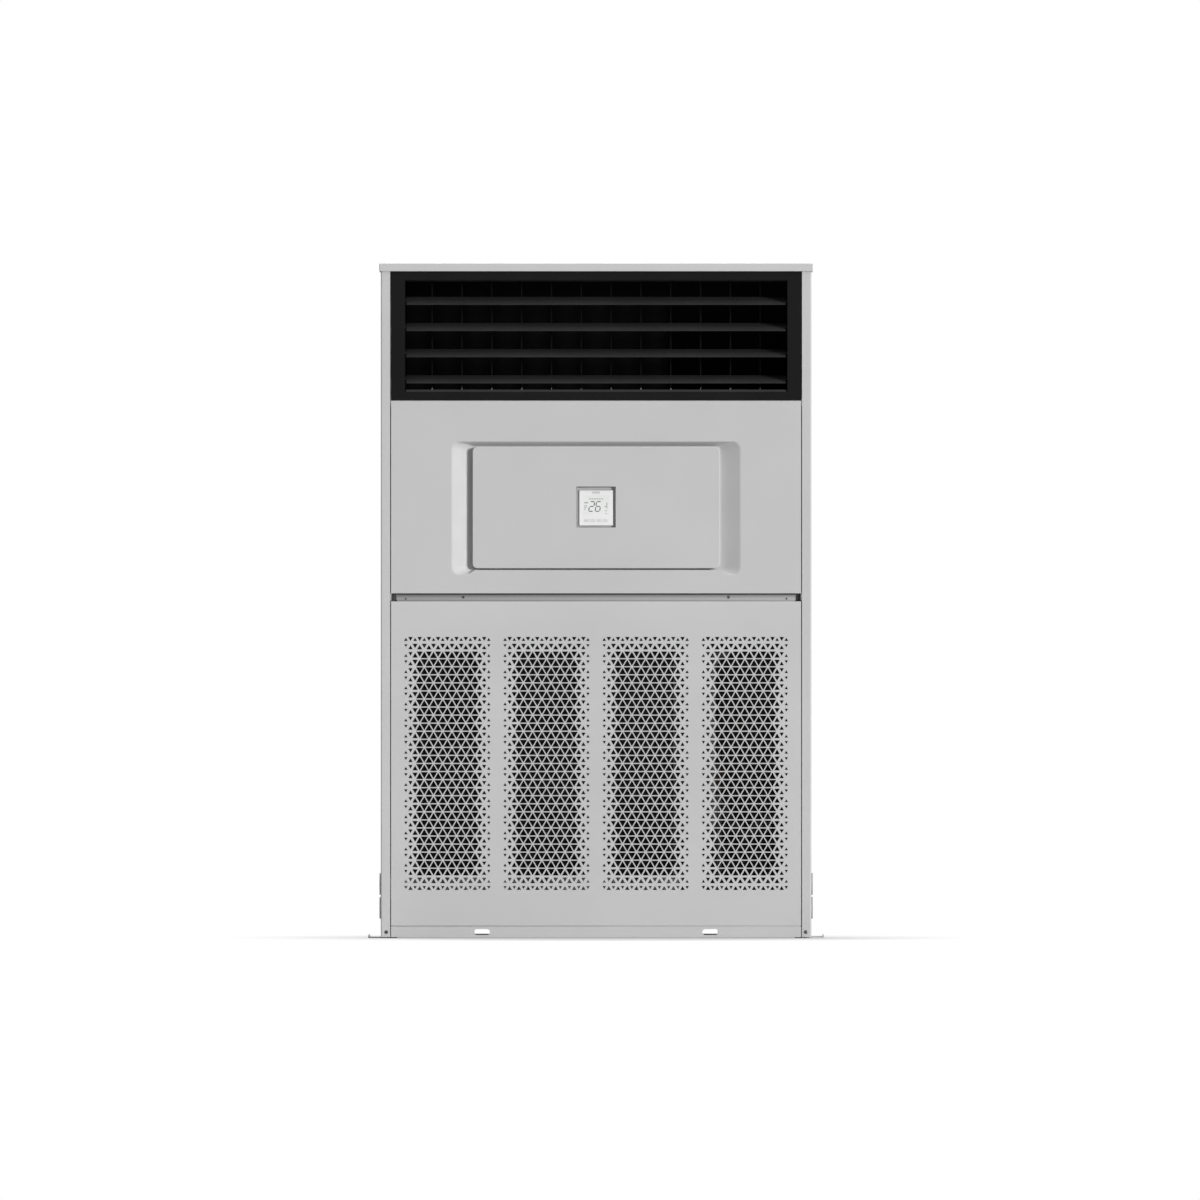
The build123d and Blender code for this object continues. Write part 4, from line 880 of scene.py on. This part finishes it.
def signal_window():
    """Rounded grey window over the display."""
    front, back = SCREEN_FRONT - 0.0002, SCREEN_FRONT + 0.0004
    window = box_blank("signal_window", (-0.011, front, 1.2285), (0.011, back, 1.2345))
    shape(window, "EDGE")
    round_edges(window, runs_deep, 0.0028, 6)
    done_shaping()
    return smooth(window)


fit(controller_frame(), "frame_grey", "cabinet", "controller_white")
fit(screen_marks(), "display_ink", "cabinet", "display")
fit(signal_window(), "window_grey", "cabinet", "key_grey")


# ---- screws
def cross_screw(name, seat, way, radius, head):
    """Pan head with a cross recess; way is -1 for a head that looks forwards, 1 for one that looks back."""
    x, y, z = seat
    curve = ((0, 1), (0.45, 1), (0.75, 0.93), (0.93, 0.76), (1, 0.5))
    screw = turned(name, "Y", seat, [(way * rise * head, share * radius) for rise, share in curve], 24)
    reach = tuple(sorted((y + way * 0.35 * head, y + way * 2 * head)))
    return combine(screw, cross_cutters(1, reach, (x, z), 0.55 * radius, 0.11 * radius))


def screw_set(name, seats, way, radius, head, finish, body, node):
    screws = merge([cross_screw(name, seat, way, radius, head) for seat in seats])
    fit(smooth(screws), finish, body, "screw_zinc", node)


CAPTIVE_SEATS = [(side * 0.3666, FLANGE_FRONT, 0.9425) for side in (-1, 1)]
POST_SEATS = [(side * 0.5794, FRONT, 0.017) for side in (-1, 1)]
BACK_SEATS = [(side * 0.581, -FRONT, height) for side in (-1, 1) for height in (0.060, 0.9325, 1.800)]
screw_set("captive_screws", CAPTIVE_SEATS, -1, 0.004, 0.0024, "dark_zinc", "intake_panel", "intake_screws")
screw_set("post_screws", POST_SEATS, -1, 0.005, 0.002, "dark_zinc", "cabinet", "cabinet_screws")
screw_set("back_screws", BACK_SEATS, 1, 0.005, 0.002, "screw_zinc", "cabinet", "cabinet_screws")


# ---- channel between the front panels
RIVET_CURVE = [(0, 0.0026), (-0.0006, 0.0024), (-0.001, 0.0017), (-0.001, 0.0013), (-0.0002, 0.0011)]
RIVET_SEATS = [(side * 0.526, FLANGE_FRONT, 0.938) for side in (-1, 1)]
rivets = [turned("flange_rivets", "Y", seat, RIVET_CURVE, 20) for seat in RIVET_SEATS]
fit(smooth(merge(rivets)), "dark_zinc", "intake_panel", "screw_zinc")

# rubber foam strips stuck on the cross rail; their dark tone is also painted shade, standing in for the
# shadowed gap under the middle panel and the deep notches at the flange's ends
for name, (left, low), (right, high) in (
    ("channel_seal", (-0.5505, 0.9493), (0.5505, 0.9527)),
    ("channel_pad_left", (-0.5655, 0.9325), (-0.5512, 0.9525)),
    ("channel_pad_right", (0.5512, 0.9325), (0.5655, 0.9525)),
):
    strip(name, (left, -0.1878, low), (right, -0.1866, high), "seal_black", "rubber")


# ---- outlet: pale vane feet, painted light for the vanes' lowest tips seen under the blades, and the lower lip
VANE_PITCH = 0.0825
VANES = 12
LIP_TOP = 1.5156
# painted light: the pale feet on the dark vanes stand for light falling on their lowest tips
for column in range(VANES):
    x = (column - (VANES - 1) / 2) * VANE_PITCH
    low, high = (x - 0.0017, -0.1188, 1.5165), (x + 0.0017, -0.1085, 1.5330)
    foot = box_blank(f"vane_lit_tip_{column + 1}", low, high)
    shape(foot, "EDGE")
    round_edges(foot, lambda a, b: near(a.x, b.x) and near(a.y, b.y) and a.y < -0.118, 0.0014, 3)
    push_points(foot, lambda p: p.z > 1.53 and p.y < -0.112, (0, 0.003, 0))
    done_shaping()
    fit(smooth(foot), "vane_tip_light", f"vane_{column + 1}", "vane_grey")

lip = box_blank("outlet_lip", (-0.5248, -0.1985, 1.5095), (0.5248, -0.1945, LIP_TOP))
shape(lip, "EDGE")
round_edges(lip, lambda a, b: on_line(2, LIP_TOP)(a, b) and near(a.y, b.y), 0.0018)
done_shaping()
fit(smooth(lip), "lip_black", "cabinet", "bezel_black")


# ---- joints of the base
strip("intake_ledge", (-0.566, -0.1978, 0.0317), (0.566, -0.1835, 0.0348), "base_paint", "base_paint")
for side, word in BOTH_SIDES:
    left, right = sorted((side * 0.5664, side * 0.5689))
    strip(f"skirt_joint_{word}", (left, -0.1996, 0.0035), (right, -0.1986, 0.0312), "seal_black", "rubber")


# ---- filter nets and coil
NET_STRAND = 0.00045
NET_PITCH = 0.0028
NET_FRONT, NET_MIDDLE, NET_BACK = -0.19525, -0.19475, -0.19425
FILTER_LOW, FILTER_HIGH = 0.113, 0.851
FILTER_PITCH, FILTER_WIDTH = 0.548, 0.524
for number in range(2):
    left = (number - 1) * FILTER_PITCH + 0.012
    right = left + FILTER_WIDTH
    name = f"filter_net_{number + 1}"
    upright = box_blank(name, (left, NET_FRONT, FILTER_LOW), (left + NET_STRAND, NET_MIDDLE, FILTER_HIGH))
    row_of(upright, int((right - left) / NET_PITCH), (NET_PITCH, 0, 0))
    level = box_blank("across", (left, NET_MIDDLE, FILTER_LOW), (right, NET_BACK, FILTER_LOW + NET_STRAND))
    row_of(level, int((FILTER_HIGH - FILTER_LOW) / NET_PITCH), (0, 0, NET_PITCH))
    fit(merge([upright, level]), "filter_black", "intake_panel", "filter_black")

COIL_LOW = Vector((0, 0.095, 0.215))
COIL_HIGH = Vector((0, -0.105, 0.905))
COIL_RUN = (COIL_HIGH - COIL_LOW).length
COIL_UP = (COIL_HIGH - COIL_LOW).normalized()
COIL_OUT = Vector((0, -COIL_UP.z, COIL_UP.y))
COIL_THICK = 0.066
COIL_LEFT, COIL_RIGHT = -0.560, 0.215
FIN_PITCH, FIN_THICK = 0.0022, 0.0002


def on_coil(x, along, through=0.0):
    """Place measured up along the coil and through it towards the front."""
    return Vector((x, 0, 0)) + COIL_LOW + COIL_UP * along + COIL_OUT * through


def coil_pack():
    """One slanted fin, repeated over the length of the coil."""
    low = (COIL_LEFT, COIL_LOW.y - COIL_THICK / 2, COIL_LOW.z)
    high = (COIL_LEFT + FIN_THICK, COIL_LOW.y + COIL_THICK / 2, COIL_LOW.z + COIL_RUN)
    fin = box_blank("coil_pack", low, high)
    shape(fin)
    pick_all()
    lean = -COIL_UP.angle(Vector((0, 0, 1)))
    bpy.ops.transform.rotate(value=lean, orient_axis="X", center_override=COIL_LOW)
    done_shaping()
    return row_of(fin, int((COIL_RIGHT - COIL_LEFT) / FIN_PITCH), (FIN_PITCH, 0, 0))


fit(coil_pack(), "coil_aluminium", "cabinet", "coil_aluminium", "coil_fins")


# ---- pipework
PLATE_FACE = COIL_RIGHT + SHEET
PORT_Y, PORT_GAS, PORT_LIQUID = 0.060, 0.148, 0.082
PIPE_END = 0.5775
BEND_PITCH, BEND_REACH = 0.038, 0.020
HEADER_X, HEADER_THROUGH = 0.272, -0.004
HEADER_LOW, HEADER_HIGH = 0.090, COIL_RUN - 0.0984
STUBS = FEEDS = 4
DISTRIBUTOR_X, DISTRIBUTOR_ALONG = 0.340, 0.190
DISTRIBUTOR_CURVE = [
    (0.0, 0.0088),
    (0.006, 0.0088),
    (0.0085, 0.0108),
    (0.0115, 0.0108),
    (0.014, 0.0092),
    (0.050, 0.0150),
    (0.057, 0.0158),
    (0.060, 0.0145),
]


def hairpins():
    """Return bends, a row in front of the other, up the coil's right end plate."""
    bends = []
    for row in range(6):
        low = (2 * row + 1.5) * BEND_PITCH
        high = low + BEND_PITCH
        for through in (-COIL_THICK / 4, COIL_THICK / 4):
            way = ((0, low), (BEND_REACH, low), (BEND_REACH, high), (0, high))
            corners = [on_coil(PLATE_FACE + out, along, through) for out, along in way]
            bends.append(pipe_run("coil_bends", corners, 0.0048, 0.0188, 12))
    return merge(bends)


def gas_side():
    """Header with its stubs, and the sleeved pipe from its head down to the upper port."""
    ends = [on_coil(HEADER_X, along, HEADER_THROUGH) for along in (HEADER_LOW, HEADER_HIGH)]
    pipes = [pipe_run("gas_header", ends, 0.014, 0.0, 24)]
    for number in range(STUBS):
        along = HEADER_LOW + (number + 0.5) * (HEADER_HIGH - HEADER_LOW) / STUBS
        ends = [on_coil(x, along, HEADER_THROUGH) for x in (PLATE_FACE, HEADER_X - 0.010)]
        pipes.append(pipe_run("stub", ends, 0.006, 0.0, 16))
    header = soften(merge(pipes), 0.003, 3, 50)
    start = on_coil(HEADER_X, HEADER_HIGH - 0.028, HEADER_THROUGH)
    corners = [
        start,
        (0.410, start.y, start.z),
        (0.410, -0.070, 0.290),
        (0.500, PORT_Y, PORT_GAS),
        (PIPE_END, PORT_Y, PORT_GAS),
    ]
    return header, pipe_run("gas_pipe", corners, 0.011, 0.045, 24)


def liquid_side():
    """Distributor cone with its feed tubes, and the sleeved pipe to the lower port."""
    place = on_coil(DISTRIBUTOR_X, DISTRIBUTOR_ALONG, COIL_THICK / 2 + 0.016)
    x, y, z = place
    pipes = [turned("liquid_distributor", "Z", place, DISTRIBUTOR_CURVE, 24)]
    for number in range(FEEDS):
        target = on_coil(0.0, DISTRIBUTOR_ALONG + 2 * BEND_PITCH * (number + 1), COIL_THICK / 4)
        spread = x + (number - 1.5) * 0.0072
        corners = [
            (spread, y, z + 0.058),
            (spread, y, z + 0.090 + 0.012 * number),
            (0.254, target.y, target.z),
            (PLATE_FACE, target.y, target.z),
        ]
        pipes.append(pipe_run("feed", corners, 0.0032, 0.014, 12))
    cone = merge(pipes)
    corners = [
        (x, y, z + 0.001),
        (x, y, PORT_LIQUID),
        (x + 0.072, PORT_Y, PORT_LIQUID),
        (PIPE_END, PORT_Y, PORT_LIQUID),
    ]
    return cone, pipe_run("liquid_pipe", corners, 0.008, 0.036, 20)


for make, node in ((gas_side, "suction_header"), (liquid_side, "distributor")):
    metal, sleeve = make()
    fit(smooth(metal, 40), "copper", "cabinet", "copper", node)
    fit(smooth(sleeve, 40), "pipe_sleeve", "cabinet", "copper", node)
fit(smooth(hairpins(), 40), "copper", "cabinet", "copper", "return_bends")


# ---- port grommets
GROMMET_INNER, GROMMET_OUTER = 0.5895, 0.600
SLIT_ARM, SLIT_HALF = 0.0215, 0.0006
# (way in from the outer face in millimetres, radius)
GROMMET_FACE = (
    (3, 0.0306),
    (1, 0.0302),
    (0, 0.0290),
    (0, 0.0262),
    (1.6, 0.0250),
    (1.6, 0.0185),
    (0.9, 0.0178),
    (0.9, 0.0168),
    (1.8, 0.0160),
    (2.4, 0.0030),
)


def grommet(side, height):
    """Rubber grommet: a rounded outer lip, a dished face with a raised ring, and crossed slits."""
    inner, outer, step = side * GROMMET_INNER, side * GROMMET_OUTER, 0.001 * side
    stations = [(inner, 0.0295), (inner + step, 0.0305), (inner + 3 * step, 0.0305)]
    stations += [(outer - way * step, radius) for way, radius in GROMMET_FACE]
    ring = turned("port_grommets", "X", (0, PORT_Y, height), stations, 48)
    reach = tuple(sorted((outer - 3.2 * step, outer + 4 * step)))
    return combine(ring, cross_cutters(0, reach, (PORT_Y, height), SLIT_ARM, SLIT_HALF))


grommets = [grommet(side, height) for side in (-1, 1) for height in (PORT_LIQUID, PORT_GAS)]
fit(smooth(merge(grommets)), "rubber", "cabinet", "rubber", "pipe_grommets")


# ---- fan wheels and motor
FAN_X, FAN_Y, FAN_Z = 0.290, -0.006, 1.225
WHEEL_R, WHEEL_INNER, WHEEL_WIDTH = 0.126, 0.101, 0.236
BLADES = 42
BLADE_HALF = 0.0005
BLADE_CURVE = ((0.0016, 0.006), (0.0034, 0.0055), (0.0050, 0.0040))  # (lean, rise) of each part
BORE_R = 0.01005
DISC_CURVE = [
    (-0.025, 0.0205),
    (-0.0238, 0.022),
    (-0.006, 0.022),
    (-0.0022, 0.028),
    (-0.0015, 0.034),
    (-0.0015, WHEEL_R - 0.001),
    (-0.0008, WHEEL_R),
]
MOTOR_CURVE = [
    (-0.090, 0.0285),
    (-0.0885, 0.030),
    (-0.081, 0.030),
    (-0.080, 0.045),
    (-0.076, 0.066),
    (-0.070, 0.0735),
]
RIB_CURVE = ((0.0, 0.0712), (0.0008, 0.0750), (0.0030, 0.0750), (0.0038, 0.0712))
RIBS_START, RIBS_END, RIB_PITCH = -0.066, 0.064, 0.0082
PAD_LOW, PAD_HIGH, PAD_TOP = 1.144, 1.164, 1.1815


def other_end(stations):
    """The same stations for the other half of a piece that is alike at both ends."""
    return [(-way, radius) for way, radius in reversed(stations)]


def wheel_ring(start, radius):
    """Flat end ring of a blower wheel."""
    ring = rod_blank("ring", "X", (start, FAN_Y, FAN_Z), radius, SHEET, 72)
    shape(ring)
    pick_faces(ring, lambda m, n: abs(n.x) > FACING)
    open_middle(radius - WHEEL_INNER)
    face_outward()
    done_shaping()
    return ring


def blade_row(low, high):
    """All the blades of one bay: one forward curved blade, copied round the axis."""
    root = WHEEL_INNER + 0.0012
    blade = box_blank(
        "blades", (low, FAN_Y - BLADE_HALF, FAN_Z + root), (high, FAN_Y + BLADE_HALF, FAN_Z + root + 0.006)
    )
    shape(blade)
    pick_faces(blade, lambda m, n: n.z > FACING)
    for lean, rise in BLADE_CURVE:
        draw_out((0, lean, rise))
    face_outward()
    bpy.ops.mesh.spin(
        steps=BLADES - 1,
        dupli=True,
        angle=2 * pi * (BLADES - 1) / BLADES,
        center=(0, FAN_Y, FAN_Z),
        axis=(1, 0, 0),
    )
    done_shaping()
    return blade


def bored(piece, x, length):
    """The piece with the shaft's bore through it."""
    return combine(piece, [rod_blank("bore", "X", (x, FAN_Y, FAN_Z), BORE_R, length)])


def blower_wheel(side, word):
    """Double inlet wheel: end rings, forward curved blades, centre disc with a swaged hub."""
    place = side * FAN_X
    half = WHEEL_WIDTH / 2
    stations = DISC_CURVE + other_end(DISC_CURVE)
    disc = bored(turned(f"blower_wheel_{word}", "X", (place, FAN_Y, FAN_Z), stations, 72), place, 0.06)
    rings = [wheel_ring(place + way * (half - SHEET / 2), WHEEL_R) for way in (-1, 1)]
    rows = [blade_row(place - half + SHEET, place - SHEET), blade_row(place + SHEET, place + half - SHEET)]
    wheel = smooth(merge([disc] + rings + rows))
    fit(wheel, "wheel_steel", "fan_rotor", "wheel_steel", f"fan_wheel_{word}")


def blower_motor():
    """Motor with a nose at each end, bell ends and cooling ribs, on its two pads."""
    stations = list(MOTOR_CURVE)
    rib = RIBS_START
    while rib < RIBS_END:
        stations += [(rib + way, radius) for way, radius in RIB_CURVE]
        rib += RIB_PITCH
    stations += other_end(MOTOR_CURVE)
    pieces = [bored(turned("blower_motor", "X", (0, FAN_Y, FAN_Z), stations, 56), 0, 0.2)]
    for x in (-0.040, 0.040):
        pad = box_blank("pad", (x - 0.015, FAN_Y - 0.045, PAD_LOW), (x + 0.015, FAN_Y + 0.045, PAD_HIGH))
        shape(pad)
        pick_faces(pad, lambda m, n: n.z > FACING)
        draw_out((0, 0, PAD_TOP - PAD_HIGH))
        bpy.ops.transform.resize(value=(1, 0.6, 1), center_override=(x, FAN_Y, PAD_TOP))
        done_shaping()
        pieces.append(soften(pad, 0.0015))
    fit(smooth(merge(pieces)), "motor_cast", "cabinet", "motor_cast", "fan_motor")


for side, word in BOTH_SIDES:
    blower_wheel(side, word)
blower_motor()


# ---- foam linings inside the cabinet
DECK_TOP = 1.4915
ROOF_UNDER = 1.858
BACK_FACE = 0.1915


def lining(name, low, high):
    strip(name, low, high, "foam_black", "filter_black", 0.0012)


lining("plenum_back_lining", (-0.56, BACK_FACE, DECK_TOP + 0.0005), (0.56, 0.198, ROOF_UNDER))
lining("plenum_roof_lining", (-0.56, -0.09, 1.8585), (0.56, 0.191, 1.8633))
for side, word in BOTH_SIDES:
    left, right = sorted((side * 0.5878, side * 0.5933))
    lining(f"plenum_{word}_lining", (left, -0.09, DECK_TOP + 0.0005), (right, 0.195, ROOF_UNDER))
    lining(f"lower_{word}_lining", (left, -0.13, 0.2), (right, 0.195, 0.92))
lining("lower_back_lining", (-0.56, BACK_FACE, 0.04), (0.56, 0.198, 1.04))
lining("deck_lining", (-0.56, -0.09, DECK_TOP + 0.0002), (0.56, 0.058, 1.4965))


# ---- room, lamps and camera
LAMPS = (
    # name, place, size, power
    ("key", (28.2, -27.94, 8.14), 8.6, 13830),
    ("front", (0.9, -2.2, 6.0), 1.6, 50),
    ("top", (-0.6, 0.4, 6.5), 3.0, 200),
    ("back", (-3.6, 5.2, 3.4), 3.0, 330),
)
LAMPS_AIM = Vector((0, 0, 1))
VIEW_WIDTH = 3.3156  # metres across the photograph
VIEW_FROM = 100.0  # far off, with a long lens, because the photograph shows almost no perspective
VIEW_MIDDLE = (0.0108, 0.9345)


def seen_directly(tree):
    """Socket that is 1 for rays from the camera, from a gloss or through glass, and 0 for light."""
    rays = tree.nodes.new("ShaderNodeLightPath")
    seen = rays.outputs["Is Camera Ray"]
    for kind in ("Is Glossy Ray", "Is Transmission Ray"):
        either = tree.nodes.new("ShaderNodeMath")
        either.operation = "MAXIMUM"
        tree.links.new(seen, either.inputs[0])
        tree.links.new(rays.outputs[kind], either.inputs[1])
        seen = either.outputs["Value"]
    return seen


def lay_over(tree, share, under, over, output):
    """Mix two shaders by a share, as the surface of the output node."""
    mix = tree.nodes.new("ShaderNodeMixShader")
    for socket, source in zip(mix.inputs, (share, under, over)):
        tree.links.new(source, socket)
    tree.links.new(mix.outputs["Shader"], tree.nodes[output].inputs["Surface"])


def pale_floor():
    """Floor that takes soft shadows near the cabinet and runs out to white."""
    clear_bench()
    bpy.ops.mesh.primitive_circle_add(vertices=96, radius=6, fill_type="NGON", location=(0, 0, -0.0005))
    floor = settle(bpy.context.active_object, "floor")
    ground = bpy.data.materials.new("pale_floor")
    ground.use_nodes = True
    tree = ground.node_tree
    shader = dial(tree.nodes["Principled BSDF"], Base_Color=(0.5, 0.5, 0.5, 1), Roughness=0.9)
    place = tree.nodes.new("ShaderNodeTexCoord")
    reach = tree.nodes.new("ShaderNodeVectorMath")
    reach.operation = "LENGTH"
    fade = dial(tree.nodes.new("ShaderNodeMapRange"), From_Min=0.55, From_Max=1.05, To_Min=0.4)
    seen = tree.nodes.new("ShaderNodeMath")
    seen.operation = "MULTIPLY"
    white = tree.nodes.new("ShaderNodeEmission")
    tree.links.new(place.outputs["Object"], reach.inputs[0])
    tree.links.new(reach.outputs["Value"], fade.inputs["Value"])
    tree.links.new(fade.outputs["Result"], seen.inputs[0])
    tree.links.new(seen_directly(tree), seen.inputs[1])
    sources = (shader.outputs["BSDF"], white.outputs["Emission"])
    lay_over(tree, seen.outputs["Value"], *sources, "Material Output")
    floor.data.materials.append(ground)


def pale_room():
    """Weak light from all round, in front of a white background."""
    world = bpy.data.worlds.new("room")
    bpy.context.scene.world = world
    world.use_nodes = True
    tree = world.node_tree
    room = dial(tree.nodes["Background"], Color=(1, 1, 1, 1), Strength=0.12)
    backdrop = dial(tree.nodes.new("ShaderNodeBackground"), Color=(1, 1, 1, 1), Strength=1.0)
    sources = (room.outputs["Background"], backdrop.outputs["Background"])
    lay_over(tree, seen_directly(tree), *sources, "World Output")


def studio():
    """Floor, room, soft lamps and the camera."""
    pale_floor()
    pale_room()
    for name, place, size, power in LAMPS:
        lamp = bpy.data.lights.new(name, "AREA")
        lamp.size = size
        lamp.energy = power
        holder = bpy.data.objects.new(name, lamp)
        holder.location = place
        holder.rotation_euler = (LAMPS_AIM - Vector(place)).to_track_quat("-Z", "Y").to_euler()
        bpy.context.scene.collection.objects.link(holder)
    lens = bpy.data.cameras.new("camera")
    lens.sensor_width = 36
    lens.lens = lens.sensor_width * VIEW_FROM / VIEW_WIDTH
    lens.clip_end = 2 * VIEW_FROM
    camera = bpy.data.objects.new("camera", lens)
    camera.location = (VIEW_MIDDLE[0], FRONT - VIEW_FROM, VIEW_MIDDLE[1])
    camera.rotation_euler = UPRIGHT
    bpy.context.scene.collection.objects.link(camera)
    bpy.context.scene.camera = camera
    bpy.context.scene.view_settings.view_transform = "Standard"


studio()
